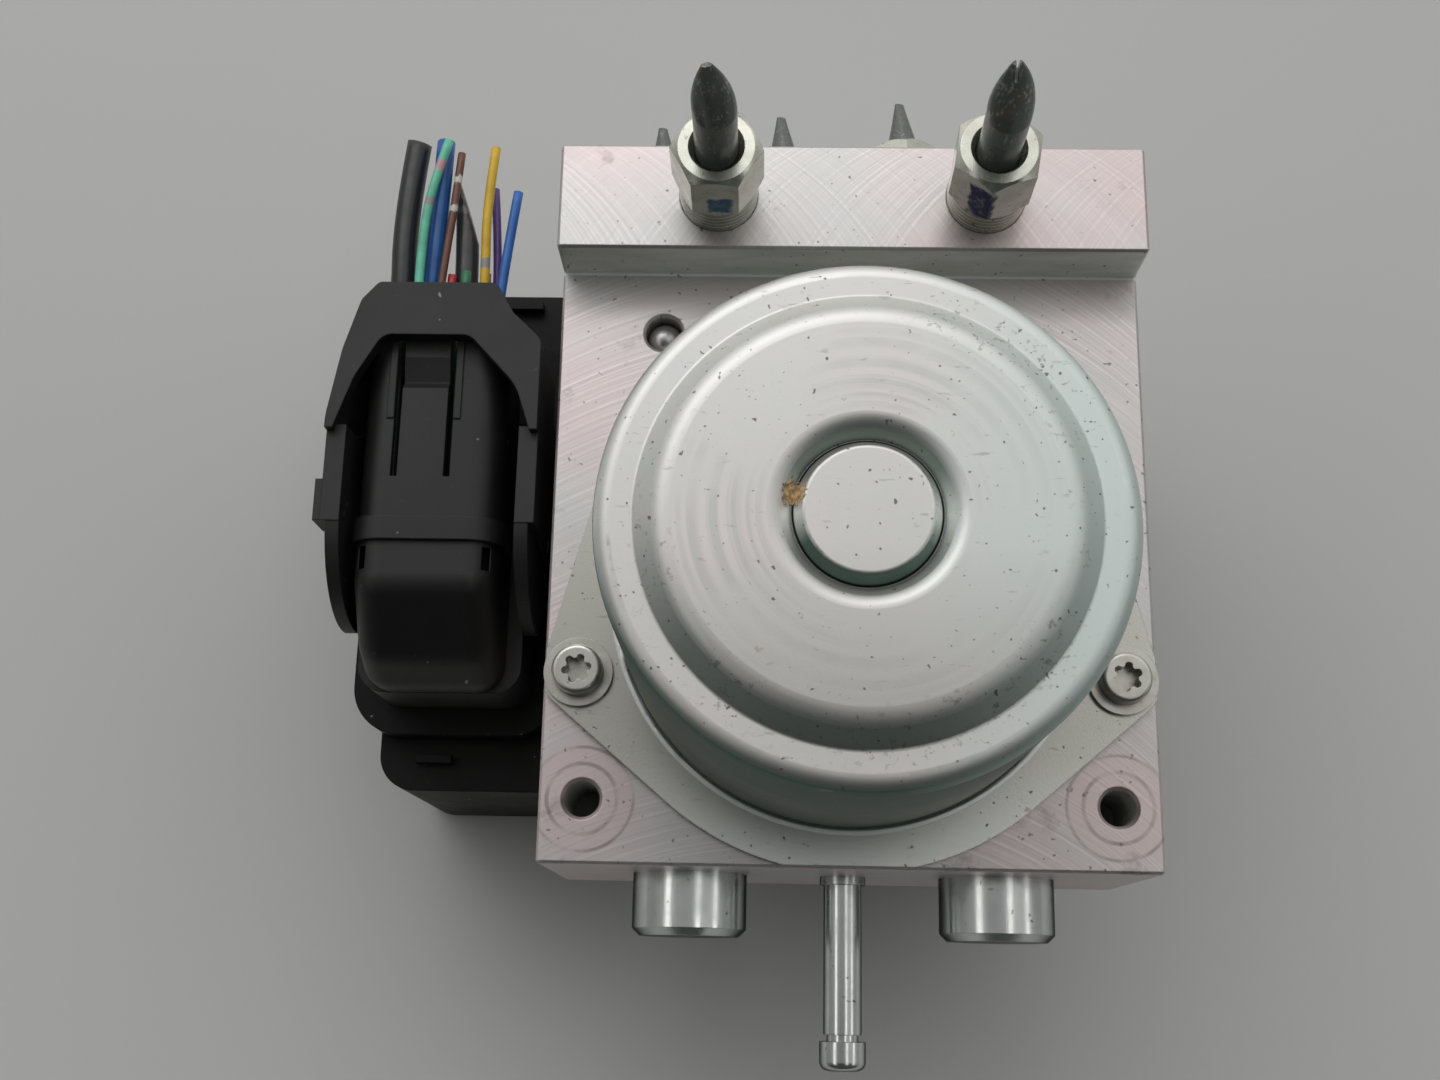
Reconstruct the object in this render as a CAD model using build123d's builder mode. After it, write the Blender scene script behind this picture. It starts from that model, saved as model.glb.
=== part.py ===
from build123d import *
import math
import os

os.makedirs("parts", exist_ok=True)

# An ABS brake module lying on its controller, motor upwards. Millimetres. The motor's axis is
# X = Y = 0 and the controller's lid lies on Z = 0. +Y points to the edge with the pipe ports.

# ---- driving dimensions -----------------------------------------------------------------------
controller_depth = 42.0
block_thickness = 38.5
block_front = -40.0
block_back = 69.3
ledge_start = 51.9
ledge_rise = 9.5

can_radius = 34.3
can_to_side = 10.7
can_height = 43.6
can_sheet = 1.6
plateau_rise = 3.1
crease_inset = 5.1
button_radius = 8.1
button_rise = 2.9
flange_width, flange_sheet = 6.5, 1.5
ear_out, ear_y, ear_radius = 5.4, -12.5, 5.6

front_port_x, front_port_y = 20.4, 60.7
rear_port_pitch = 20.4
pipe_radius = 3.18
pipe_wall = 0.8

cap_inset, cap_radius, cap_length = 21.5, 8.75, 9.3
pin_radius, pin_length = 2.9, 28.4
corner_hole_inset, corner_hole_y, corner_hole_radius = 6.3, -30.7, 2.6
plug_hole_x, plug_hole_y, plug_hole_radius = -28.8, 41.8, 2.9

wing_reach, controller_inset = 32.5, 4.0
controller_front, controller_back = -25.7, 64.5
controller_wall = 2.5
lid_thickness = 3.0
corner_round = 6.0

plug_reach = 19.2
plug_front, plug_back = -12.6, 45.6
skirt_half_width = 13.1
skirt_wall = 1.3
cover_half_width = 11.1
cover_rise = 37.0
cover_back = 42.0
pivot_y, pivot_rise = 12.8, 22.4
lever_half_width = 16.4
lobe_radius = 16.0
plug_lift = 7.5
lever_turn = math.radians(80)

# ---- clearances -------------------------------------------------------------------------------
press = 0.02
running = 0.05
loose = 0.3

# ---- heights and places that follow -----------------------------------------------------------
face_z = controller_depth + block_thickness
ledge_z = face_z + ledge_rise
rim_z = face_z + can_height
plateau_z = rim_z + plateau_rise
button_z = rim_z + button_rise
pump_z = controller_depth + block_thickness / 2
rear_port_z = pump_z + 2.75
side_x = can_radius + can_to_side
block_width = 2 * side_x
crease_radius = can_radius - crease_inset
flange_radius = can_radius + flange_width
ear_x = can_radius + ear_out
corner_hole_x = side_x - corner_hole_inset
cap_x = side_x - cap_inset
controller_left, controller_right = -side_x - wing_reach, side_x - controller_inset
plug_x = -side_x - plug_reach
cover_top = controller_depth + cover_rise
pivot_z = controller_depth + pivot_rise

front_face = Plane(origin=(0, block_front, pump_z), x_dir=(1, 0, 0), z_dir=(0, -1, 0))
back_face = Plane(origin=(0, block_back, rear_port_z), x_dir=(-1, 0, 0), z_dir=(0, 1, 0))
right_face = Plane(origin=(side_x, 0, pump_z), x_dir=(0, 1, 0), z_dir=(1, 0, 0))
left_face = Plane(origin=(-side_x, 0, pump_z), x_dir=(0, -1, 0), z_dir=(-1, 0, 0))

corner_holes = [(-corner_hole_x, corner_hole_y), (corner_hole_x, corner_hole_y)]
motor_screw_places = [(-ear_x, ear_y), (ear_x, ear_y)]
front_port_places = [(-front_port_x, front_port_y), (front_port_x, front_port_y)]
rear_port_places = [((i - 1.5) * rear_port_pitch, 0) for i in range(4)]
valve_pitch = (block_width - 12.0) / 4
inlet_row, outlet_row = 32.0, 52.0
inlet_places = [((i - 1.5) * valve_pitch, inlet_row) for i in range(4)]
outlet_places = [((i - 1.5) * valve_pitch, outlet_row) for i in range(4)]
controller_screw_places = [
    (10.0 - side_x, -14.5),
    (side_x - 15.0, -14.5),
    (-valve_pitch, (inlet_row + outlet_row) / 2),
    (valve_pitch, (inlet_row + outlet_row) / 2),
]
terminal_place = (0.0, 20.0)


def save(piece, name):
    piece.part.label = name
    export_step(piece.part, f"parts/{name}.step")


# ---- hydraulic block: one milled billet, stepped along its back edge ---------------------------
bearing_radius, bearing_height = 11.0, 7.0
chamber_radius, chamber_floor = 9.6, pump_z - 8.0
plunger_radius, plunger_guide_end = 3.0, 20.2
pump_bore_radius, pump_plug_radius, pump_plug_length = 4.6, 6.0, 9.0
piston_radius, piston_bore_depth = 7.55, 23.0
cap_seat_depth = 4.0
pin_shank = 10.0
front_thread_radius, front_port_depth = 6.0, 11.0
rear_thread_radius, rear_port_depth = 5.0, 10.0
valve_body_radius, valve_body_height = 4.9, 13.0
motor_screw_radius, motor_screw_depth = 2.5, 12.0
controller_screw_radius, controller_screw_grip = 2.0, 10.0
terminal_radius = 4.0

with BuildPart() as hydraulic_block:
    with BuildSketch(Plane.YZ):
        with BuildLine():
            Polyline(
                (block_front, controller_depth),
                (block_back, controller_depth),
                (block_back, ledge_z),
                (ledge_start, ledge_z),
                (ledge_start, face_z),
                (block_front, face_z),
                close=True,
            )
        make_face()
    extrude(amount=side_x, both=True)
    step_root = hydraulic_block.edges().filter_by(Axis.X).sort_by_distance((0, ledge_start, face_z))[0]
    chamfer(hydraulic_block.edges() - ShapeList([step_root]), 0.4)

    # motor bearing seat and the eccentric's chamber under it
    with Locations((0, 0, face_z)):
        CounterBoreHole(chamber_radius, bearing_radius + press, bearing_height, face_z - chamber_floor)
    with Locations([(x, y, face_z) for x, y in [terminal_place]]):
        Hole(terminal_radius + loose, block_thickness)

    # pumps: a guide from the chamber, then a wider spring bore and the end plug's thread
    with Locations(right_face, left_face):
        Hole(plunger_radius + running, side_x - chamber_radius + 1)
        Hole(pump_bore_radius, side_x - plunger_guide_end)
        Hole(pump_plug_radius + running, pump_plug_length)

    # accumulators and the mounting pin on the front edge
    with Locations(front_face):
        with Locations((-cap_x, 0), (cap_x, 0)):
            CounterBoreHole(piston_radius + running, cap_radius + press, cap_seat_depth, piston_bore_depth)
        Hole(pin_radius + running, pin_shank)

    # pipe ports: two on the ledge and four on the back
    with Locations([(x, y, ledge_z) for x, y in front_port_places]):
        Hole(front_thread_radius + running, front_port_depth)
        Hole(2.2, front_port_depth + 8)
    with Locations(back_face):
        with Locations(rear_port_places):
            Hole(rear_thread_radius + running, rear_port_depth)
            Hole(2.2, rear_port_depth + 6)

    # tapped corner holes, motor screws and the plugged drilling, each with a turned mouth
    with Locations([(x, y, face_z) for x, y in corner_holes]):
        CounterSinkHole(corner_hole_radius, corner_hole_radius + 0.5, 16, 90)
    with Locations([(x, y, face_z) for x, y in motor_screw_places]):
        Hole(motor_screw_radius + running, motor_screw_depth)
    with Locations((plug_hole_x, plug_hole_y, face_z)):
        CounterSinkHole(plug_hole_radius, plug_hole_radius + 0.4, 10, 90)

    # valve cavities and the controller's screws on the underside
    with Locations([(x, y, controller_depth) for x, y in inlet_places + outlet_places]):
        with Locations(Rotation(180, 0, 0)):
            Hole(valve_body_radius + press, valve_body_height + 1)
    with Locations([(x, y, controller_depth) for x, y in controller_screw_places]):
        with Locations(Rotation(180, 0, 0)):
            Hole(controller_screw_radius + running, controller_screw_grip + 1)
save(hydraulic_block, "hydraulic_block")

# ---- plug of the small drilling beside the motor: a pressed ball --------------------------------
with BuildPart() as port_ball:
    with Locations((plug_hole_x, plug_hole_y, face_z - plug_hole_radius - 1.2)):
        Sphere(plug_hole_radius - press)
save(port_ball, "port_ball")


# ---- tube nuts: threaded nose, hexagon with turned corners, bore for the pipe --------------------
def tube_nut(thread_radius, flats, buried, nose, hex_height):
    top = nose + hex_height
    corner = flats / math.sqrt(3)
    with BuildPart() as nut:
        with BuildSketch(Plane.XY.offset(-buried)):
            Circle(thread_radius)
        extrude(amount=buried + nose)
        with BuildSketch(Plane.XY.offset(nose)):
            RegularPolygon(flats / 2, 6, major_radius=False, rotation=30)
        extrude(amount=hex_height)
        with BuildSketch(Plane.XZ):
            with BuildLine():
                Polyline(
                    (0, -buried),
                    (flats / 2 + 0.1, -buried),
                    (flats / 2 + 0.1, nose),
                    (corner, nose + 1.0),
                    (corner, top - 1.0),
                    (flats / 2 - 0.4, top),
                    (0, top),
                    close=True,
                )
            make_face()
        revolve(axis=Axis.Z, mode=Mode.INTERSECT)
        with Locations((0, 0, top)):
            CounterSinkHole(pipe_radius + 0.1, pipe_radius + 0.95, top + buried, 60)
    return nut.part


front_nut = tube_nut(front_thread_radius, 12.0, 9.0, 5.4, 10.0)
with BuildPart() as front_pipe_nuts:
    with Locations(Location((-front_port_x, front_port_y, ledge_z), (0, 0, 28))):
        add(front_nut)
    with Locations(Location((front_port_x, front_port_y, ledge_z), (0, 0, -8))):
        add(front_nut)
save(front_pipe_nuts, "front_pipe_nuts")

rear_nut = tube_nut(rear_thread_radius, 11.0, 8.0, 0.5, 9.7)
rear_nut_slack = [0.0, 2.8, 0.0, 0.0]
with BuildPart() as rear_pipe_nuts:
    with Locations(back_face):
        for (x, y), slack in zip(rear_port_places, rear_nut_slack):
            with Locations((x, y, slack)):
                add(rear_nut)
save(rear_pipe_nuts, "rear_pipe_nuts")


# ---- brake pipe stubs: round tube, nipped shut and pointed where it was cut ----------------------
def pipe_stub(buried, straight, waist, tip, spread, lean_x, lean_y, turn):
    """A tube from -buried to straight; the nipped end flattens over waist and tip, leaning as it goes."""
    with BuildPart() as stub:
        with BuildSketch(Plane.XY.offset(-buried)):
            Circle(pipe_radius)
        extrude(amount=buried + straight)
        with BuildSketch(Plane.XY.offset(straight)):
            Circle(pipe_radius)
        with BuildSketch(Plane.XY.offset(straight + waist)):
            with Locations((lean_x * 0.4, lean_y * 0.4)):
                Ellipse(pipe_radius * spread, pipe_radius * 0.62, rotation=turn)
        with BuildSketch(Plane.XY.offset(straight + waist + tip)):
            with Locations((lean_x, lean_y)):
                Ellipse(pipe_radius * 0.24, pipe_radius * 0.12, rotation=turn)
        loft()
        with Locations((0, 0, -buried)):
            with Locations(Rotation(180, 0, 0)):
                Hole(pipe_radius - pipe_wall, buried + straight)
    return stub.part


front_pipe_buried = 8.0
with BuildPart() as front_pipe_left:
    with Locations((-front_port_x, front_port_y, ledge_z)):
        add(pipe_stub(front_pipe_buried, 25.5, 4.2, 4.3, 0.86, -0.9, 1.8, 8))
save(front_pipe_left, "front_pipe_left")

with BuildPart() as front_pipe_right:
    with Locations((front_port_x, front_port_y, ledge_z)):
        add(pipe_stub(front_pipe_buried, 25.0, 4.5, 4.5, 0.92, -0.2, 2.4, 12))
    # the cut split this end into two points
    with BuildSketch(Plane.XZ.offset(-front_port_y - 8)):
        with Locations((front_port_x - 0.1, ledge_z + 34.5)):
            Rectangle(0.5, 5.0)
    extrude(amount=16, mode=Mode.SUBTRACT)
save(front_pipe_right, "front_pipe_right")

rear_stub_lengths = [10.0, 12.4, 9.7, 7.5]
with BuildPart() as rear_pipe_stubs:
    with Locations(back_face):
        for (x, y), straight in zip(rear_port_places, rear_stub_lengths):
            with Locations((x, y, 0)):
                add(pipe_stub(7.0, straight, 4.2, 5.4, 0.62, 0.6, 0.3, 15))
save(rear_pipe_stubs, "rear_pipe_stubs")

# ---- mounting pin: collar, plain shaft, groove and rounded head --------------------------------
collar_length, groove_length, head_length = 1.2, 1.0, 4.2
head_radius = 3.5
with BuildPart() as mounting_pin:
    with BuildSketch(front_face.offset(-pin_shank + 0.5)):
        Circle(pin_radius)
    extrude(amount=pin_shank - 0.5 + pin_length - head_length - groove_length)
    with BuildSketch(front_face):
        Circle(head_radius)
    extrude(amount=collar_length)
    with BuildSketch(front_face.offset(pin_length - head_length - groove_length)):
        Circle(pin_radius - 0.5)
    extrude(amount=groove_length)
    with BuildSketch(front_face.offset(pin_length - head_length)):
        Circle(head_radius)
    extrude(amount=head_length)
    head_end = mounting_pin.faces().sort_by(Axis.Y)[0]
    fillet(head_end.edges(), 1.3)
save(mounting_pin, "mounting_pin")

# ---- accumulators: polished cap, piston with its seal, spring between them ----------------------
cap_floor = cap_length - 1.6
piston_rest = piston_bore_depth - 0.3
piston_length = 9.0
seal_radius = 0.95
accumulator_coil_radius, accumulator_wire = 4.9, 0.65


def coil_spring(coil_radius, wire_radius, length, turns):
    """A round-wire compression spring standing on Z = 0 along +Z."""
    rise = length - 2 * wire_radius
    with BuildPart() as spring:
        with BuildLine(Plane.XY.offset(wire_radius)) as coil:
            Helix(pitch=rise / turns, height=rise, radius=coil_radius)
        with BuildSketch(coil.line ^ 0):
            Circle(wire_radius)
        sweep(is_frenet=True)
    return spring.part


accumulator_coil = coil_spring(
    accumulator_coil_radius, accumulator_wire, cap_floor + piston_rest - piston_length + 4.0, 5
)
for side, name in ((-1, "left"), (1, "right")):
    axis_plane = front_face.shift_origin(front_face.from_local_coords((side * cap_x, 0, 0)))

    with BuildPart() as accumulator_cap:
        with BuildSketch(axis_plane.offset(-cap_seat_depth)):
            Circle(cap_radius)
        extrude(amount=cap_seat_depth + cap_length)
        chamfer(accumulator_cap.faces().sort_by(Axis.Y)[0].edges(), 1.1)
        with BuildSketch(axis_plane.offset(-cap_seat_depth)):
            Circle(piston_radius + running)
        extrude(amount=cap_seat_depth + cap_floor, mode=Mode.SUBTRACT)
    save(accumulator_cap, f"accumulator_cap_{name}")

    with BuildPart() as accumulator_piston:
        with BuildSketch(axis_plane.offset(-piston_rest)):
            Circle(piston_radius)
        extrude(amount=piston_length)
        with BuildSketch(axis_plane.offset(-piston_rest + piston_length - 4.0)):
            Circle(accumulator_coil_radius + accumulator_wire + 0.4)
        extrude(amount=4.0, mode=Mode.SUBTRACT)
        with BuildSketch(axis_plane.offset(-piston_rest + 1.4)):
            Circle(piston_radius + 1)
            Circle(piston_radius - 2 * seal_radius - running, mode=Mode.SUBTRACT)
        extrude(amount=2 * seal_radius + 2 * running, mode=Mode.SUBTRACT)
    save(accumulator_piston, f"accumulator_piston_{name}")

    with BuildPart() as piston_seal:
        with Locations(axis_plane.offset(-piston_rest + 1.4 + running + seal_radius)):
            Torus(piston_radius - seal_radius, seal_radius)
    save(piston_seal, f"piston_seal_{name}")

    with BuildPart() as accumulator_spring:
        with Locations(axis_plane.offset(-piston_rest + piston_length - 4.0)):
            add(accumulator_coil)
    save(accumulator_spring, f"accumulator_spring_{name}")

# ---- motor can: deep drawn with its flange, stepped end and bearing cup --------------------------
shoulder_run = 3.4
crevice_radius, crevice_width, crevice_z = button_radius + 1.2, 0.2, button_z - 2.2
lip_radius = crevice_radius + 2.2
cup_depth = 6.6
shoulder_angle = math.atan2(plateau_rise, shoulder_run)


def can_wall(sheet, cup, cup_bends):
    """The can's section from its centre to its foot, moved in by sheet; cup is its bearing cup's side."""
    shoulder_shift = sheet * math.tan(shoulder_angle / 2)
    FilletPolyline(
        (0, button_z - sheet),
        (button_radius - sheet, button_z - sheet),
        *cup,
        (crease_radius - shoulder_run - shoulder_shift, plateau_z - sheet),
        (crease_radius - shoulder_shift, rim_z - sheet),
        (can_radius - sheet, rim_z - sheet),
        (can_radius - sheet, face_z),
        radius=[*cup_bends, 3.6, 0.5, 2.4 - sheet / 2],
    )
    Polyline((can_radius - sheet, face_z), (0, face_z), (0, button_z - sheet))


# outside, the cup ends in a closed fold; inside, the folded sheet holds the bearing
outer_cup = [
    (crevice_radius, crevice_z),
    (crevice_radius + crevice_width, crevice_z),
    (lip_radius, plateau_z),
]
inner_cup = [
    (button_radius - can_sheet, button_z - cup_depth),
    (crevice_radius + can_sheet, button_z - cup_depth),
    (crevice_radius + can_sheet, plateau_z - can_sheet),
]
with BuildPart() as motor_can:
    with BuildSketch(Plane.XZ):
        with BuildLine():
            can_wall(0, outer_cup, [0.5, 0.05, 0.05, 2.4])
        make_face()
    revolve(axis=Axis.Z)
    with BuildSketch(Plane.XY.offset(face_z)):
        Circle(flange_radius)
        with Locations(motor_screw_places):
            Circle(ear_radius)
        make_hull()
        with Locations((0, block_front + 0.3 + flange_radius)):
            Rectangle(block_width - 0.8, 2 * flange_radius, mode=Mode.INTERSECT)
    extrude(amount=flange_sheet)
    foot = motor_can.edges().filter_by(GeomType.CIRCLE).filter_by_position(
        Axis.Z, face_z + flange_sheet - 0.01, face_z + flange_sheet + 0.01
    ).filter_by(lambda edge: abs(edge.radius - can_radius) < 0.01)
    fillet(foot, 0.9)
    with BuildSketch(Plane.XZ):
        with BuildLine():
            can_wall(can_sheet, inner_cup, [0.3, 0.8, 0.8, 0.8])
        make_face()
    revolve(axis=Axis.Z, mode=Mode.SUBTRACT)
    with Locations([(x, y, face_z + flange_sheet) for x, y in motor_screw_places]):
        Hole(motor_screw_radius + 0.3, flange_sheet)
save(motor_can, "motor_can")

# ---- motor screws: washer-faced round heads with a six-point socket -----------------------------
washer_radius, screw_head_radius, screw_head_height = 5.1, 3.7, 3.6
with BuildPart() as motor_screw:
    with BuildSketch(Plane.XY.offset(-motor_screw_depth + 1)):
        Circle(motor_screw_radius)
    extrude(amount=motor_screw_depth - 1 + flange_sheet)
    with BuildSketch(Plane.XY.offset(flange_sheet)):
        Circle(washer_radius)
    extrude(amount=1.0)
    with BuildSketch(Plane.XY.offset(flange_sheet + 1.0)):
        Circle(screw_head_radius)
    extrude(amount=screw_head_height - 1.0)
    fillet(motor_screw.faces().sort_by(Axis.Z)[-1].edges(), 0.7)
    with BuildSketch(Plane.XY.offset(flange_sheet + screw_head_height)):
        Circle(1.55)
        with PolarLocations(1.55, 6):
            Circle(0.62)
        with PolarLocations(2.05, 6, start_angle=30):
            Circle(0.5, mode=Mode.SUBTRACT)
    extrude(amount=-2.2, mode=Mode.SUBTRACT)

with BuildPart() as motor_screws:
    with Locations(
        Location((-ear_x, ear_y, face_z), (0, 0, 10)),
        Location((ear_x, ear_y, face_z), (0, 0, 22)),
    ):
        add(motor_screw.part)
save(motor_screws, "motor_screws")

# ---- motor rotor -------------------------------------------------------------------------------
shaft_radius, top_journal_radius = 4.0, 2.0
eccentric_radius, eccentric_throw = 5.4, 1.0
core_radius, core_bottom, core_top = can_radius - 8.4, face_z + 16.5, face_z + can_height - 10.6
winding_bottom, winding_top = core_bottom - 4.6, core_top + 3.7
commutator_radius = 9.0
commutator_bottom, commutator_top = face_z + 4.1, winding_bottom
slot_count, slot_inner, slot_outer, slot_width = 12, 12.5, core_radius - 1.9, 3.6
ring_half_height = 4.25
upper_bearing_height = 5.0
upper_bearing_top = button_z - can_sheet - 0.2
shaft_shoulder = upper_bearing_top - upper_bearing_height - 0.3

with BuildPart() as rotor_shaft:
    with BuildSketch(Plane.XY.offset(chamber_floor + 0.5)):
        Circle(shaft_radius - 1)
    extrude(amount=bearing_height)
    with BuildSketch(Plane.XY.offset(pump_z - ring_half_height)):
        with Locations((eccentric_throw, 0)):
            Circle(eccentric_radius)
    extrude(amount=2 * ring_half_height)
    with BuildSketch(Plane.XY.offset(pump_z + ring_half_height)):
        Circle(shaft_radius)
    extrude(amount=shaft_shoulder - pump_z - ring_half_height)
    with BuildSketch(Plane.XY.offset(shaft_shoulder)):
        Circle(top_journal_radius)
    extrude(amount=upper_bearing_top - shaft_shoulder)
save(rotor_shaft, "rotor_shaft")

with BuildPart() as rotor_core:
    with BuildSketch(Plane.XY.offset(core_bottom)):
        Circle(core_radius)
        Circle(shaft_radius + press, mode=Mode.SUBTRACT)
        with PolarLocations((slot_inner + slot_outer) / 2, slot_count):
            Rectangle(slot_outer - slot_inner, slot_width, mode=Mode.SUBTRACT)
        with PolarLocations(core_radius, slot_count):
            Rectangle(2 * (core_radius - slot_outer + 0.1), 1.2, mode=Mode.SUBTRACT)
    extrude(amount=core_top - core_bottom)
save(rotor_core, "rotor_core")

with BuildPart() as rotor_winding:
    for low, high in ((winding_bottom, core_bottom), (core_top, winding_top)):
        with BuildSketch(Plane.XY.offset(low)):
            Circle(slot_outer)
            Circle(slot_inner, mode=Mode.SUBTRACT)
        extrude(amount=high - low)
    with BuildSketch(Plane.XY.offset(core_bottom)):
        with PolarLocations((slot_inner + slot_outer) / 2, slot_count):
            Rectangle(slot_outer - slot_inner - loose, slot_width - loose)
    extrude(amount=core_top - core_bottom)
    fillet(rotor_winding.edges().group_by(Axis.Z)[-1].sort_by(SortBy.RADIUS)[-1], 1.4)
save(rotor_winding, "rotor_winding")

with BuildPart() as commutator:
    with BuildSketch(Plane.XY.offset(commutator_bottom)):
        Circle(commutator_radius)
        Circle(shaft_radius + press, mode=Mode.SUBTRACT)
    extrude(amount=commutator_top - commutator_bottom)
    with BuildSketch(Plane.XY.offset(commutator_top)):
        Circle(slot_inner + 0.8)
        Circle(shaft_radius + press, mode=Mode.SUBTRACT)
    extrude(amount=-1.4)
    with BuildSketch(Plane.XY.offset(commutator_top)):
        with PolarLocations(slot_inner, slot_count, start_angle=15):
            Rectangle(2 * (slot_inner - commutator_radius + 0.9), 0.6)
    extrude(amount=-(commutator_top - commutator_bottom), mode=Mode.SUBTRACT)
save(commutator, "commutator")


# ---- bearings: two races with a recessed shield between ----------------------------------------
def bearing(inner, outer, height):
    with BuildPart() as race:
        with BuildSketch(Plane.XZ):
            with Locations(((inner + outer) / 2, height / 2)):
                Rectangle(outer - inner, height)
                for end in (-1, 1):
                    with Locations((0, end * height / 2)):
                        Rectangle((outer - inner) * 0.5, 0.6, mode=Mode.SUBTRACT)
        revolve(axis=Axis.Z)
        chamfer(race.edges().filter_by(GeomType.CIRCLE).sort_by(SortBy.RADIUS)[-2:], 0.7)
    return race.part


with BuildPart() as upper_bearing:
    with Locations((0, 0, upper_bearing_top - upper_bearing_height)):
        add(bearing(top_journal_radius + running, button_radius - can_sheet - press, upper_bearing_height))
save(upper_bearing, "upper_bearing")

with BuildPart() as lower_bearing:
    with Locations((0, 0, face_z - bearing_height)):
        add(bearing(shaft_radius + running, bearing_radius, bearing_height))
save(lower_bearing, "lower_bearing")

ring_radius = 7.5
with BuildPart() as eccentric_ring:
    with BuildSketch(Plane.XY.offset(pump_z - ring_half_height)):
        with Locations((eccentric_throw, 0)):
            Circle(ring_radius)
            Circle(eccentric_radius + running, mode=Mode.SUBTRACT)
    extrude(amount=2 * ring_half_height)
save(eccentric_ring, "eccentric_ring")

# ---- magnets: two arcs against the can's wall ---------------------------------------------------
magnet_outer = can_radius - can_sheet - running
magnet_inner = core_radius + 0.6
with BuildPart() as magnets:
    with BuildSketch(Plane.XY.offset(core_bottom - 2)):
        Circle(magnet_outer)
        Circle(magnet_inner, mode=Mode.SUBTRACT)
        Rectangle(2 * can_radius, 22, mode=Mode.SUBTRACT)
    extrude(amount=core_top - core_bottom + 6)
save(magnets, "magnets")

# ---- brush plate with two boxed brushes and their springs ---------------------------------------
plate_height = 2.5
brush_width, brush_height = 5.8, 5.2
brush_bottom = face_z + plate_height + 1.2
box_inner, box_outer, box_wall = 10.6, magnet_outer - 4.25, 1.1
brush_tip, brush_tail = commutator_radius + 0.12, 19.0
with BuildPart() as brush_plate:
    with BuildSketch(Plane.XY.offset(face_z)):
        Circle(magnet_outer - loose)
        Circle(shaft_radius + 2, mode=Mode.SUBTRACT)
    extrude(amount=plate_height)
    with BuildSketch(Plane.XY.offset(face_z + plate_height)):
        for side in (-1, 1):
            with Locations((side * (box_inner + box_outer) / 2, 0)):
                Rectangle(box_outer - box_inner, brush_width + 2 * box_wall)
    extrude(amount=brush_height + 2.2)
    with BuildSketch(Plane.XY.offset(brush_bottom - running)):
        for side in (-1, 1):
            with Locations((side * (box_inner + box_outer - box_wall) / 2, 0)):
                Rectangle(box_outer - box_inner - box_wall, brush_width + 2 * running)
    extrude(amount=brush_height + 2 * running, mode=Mode.SUBTRACT)
save(brush_plate, "brush_plate")

with BuildPart() as brushes:
    with BuildSketch(Plane.XY.offset(brush_bottom)):
        for side in (-1, 1):
            with Locations((side * (brush_tip + brush_tail) / 2, 0)):
                Rectangle(brush_tail - brush_tip, brush_width)
    extrude(amount=brush_height)
save(brushes, "brushes")

brush_coil = coil_spring(1.9, 0.3, box_outer - box_wall - brush_tail, 5)
brush_axis_z = brush_bottom + brush_height / 2
with BuildPart() as brush_springs:
    for side in (-1, 1):
        with Locations(Plane(origin=(side * brush_tail, 0, brush_axis_z), z_dir=(side, 0, 0))):
            add(brush_coil)
save(brush_springs, "brush_springs")

# ---- motor terminal: a post from the brush plate down to the circuit board ----------------------
board_bottom, board_thickness = 9.0, 1.6
board_top = board_bottom + board_thickness
with BuildPart() as motor_terminal:
    with BuildSketch(Plane.XY.offset(board_top)):
        with Locations(terminal_place):
            Circle(terminal_radius)
    extrude(amount=face_z - board_top)
save(motor_terminal, "motor_terminal")

# ---- pumps: plunger, spring and end plug on each side -------------------------------------------
plunger_inner = ring_radius + eccentric_throw + running
plunger_flange_start = plunger_guide_end + 0.1
plunger_flange_end = plunger_flange_start + 2.0
pump_coil = coil_spring(3.3, 0.4, side_x - pump_plug_length - plunger_flange_end, 5)
for pump_face, name in ((left_face, "left"), (right_face, "right")):
    with BuildPart() as pump_plunger:
        with BuildSketch(pump_face.offset(plunger_inner - side_x)):
            Circle(plunger_radius)
        extrude(amount=plunger_flange_start - plunger_inner)
        with BuildSketch(pump_face.offset(plunger_flange_start - side_x)):
            Circle(pump_bore_radius - 0.4)
        extrude(amount=plunger_flange_end - plunger_flange_start)
        with BuildSketch(pump_face.offset(plunger_flange_end - side_x)):
            Circle(2.2)
        extrude(amount=3.0)
    save(pump_plunger, f"pump_plunger_{name}")

    with BuildPart() as plunger_spring:
        with Locations(pump_face.offset(plunger_flange_end - side_x)):
            add(pump_coil)
    save(plunger_spring, f"plunger_spring_{name}")

with BuildPart() as pump_plugs:
    for pump_face in (left_face, right_face):
        with BuildSketch(pump_face.offset(-pump_plug_length)):
            Circle(pump_plug_radius)
        extrude(amount=pump_plug_length - 0.4)
        with BuildSketch(pump_face.offset(-0.4)):
            RegularPolygon(2.5, 6, major_radius=False)
        extrude(amount=-3.5, mode=Mode.SUBTRACT)
save(pump_plugs, "pump_plugs")

# ---- valves: staked cartridges whose thin domes stand in the coils -------------------------------
partition_bottom, partition_top = 15.0, 17.0
coil_radius, coil_bore, coil_top = valve_pitch / 2 - 1.25, 3.1, controller_depth - 1.8
dome_radius = coil_bore - 0.15


def valve_cartridge(dome_bottom):
    with BuildPart() as cartridge:
        with BuildSketch(Plane.XY.offset(controller_depth)):
            Circle(valve_body_radius)
        extrude(amount=valve_body_height)
        chamfer(cartridge.edges().sort_by(Axis.Z)[-1], 0.8)
        with BuildSketch(Plane.XY.offset(controller_depth)):
            Circle(valve_body_radius + 1.0)
        extrude(amount=-1.2)
        with BuildSketch(Plane.XY.offset(controller_depth - 1.2)):
            Circle(dome_radius)
        extrude(amount=dome_bottom - controller_depth + 1.2)
        fillet(cartridge.edges().sort_by(Axis.Z)[0], 1.2)
    return cartridge.part


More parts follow.
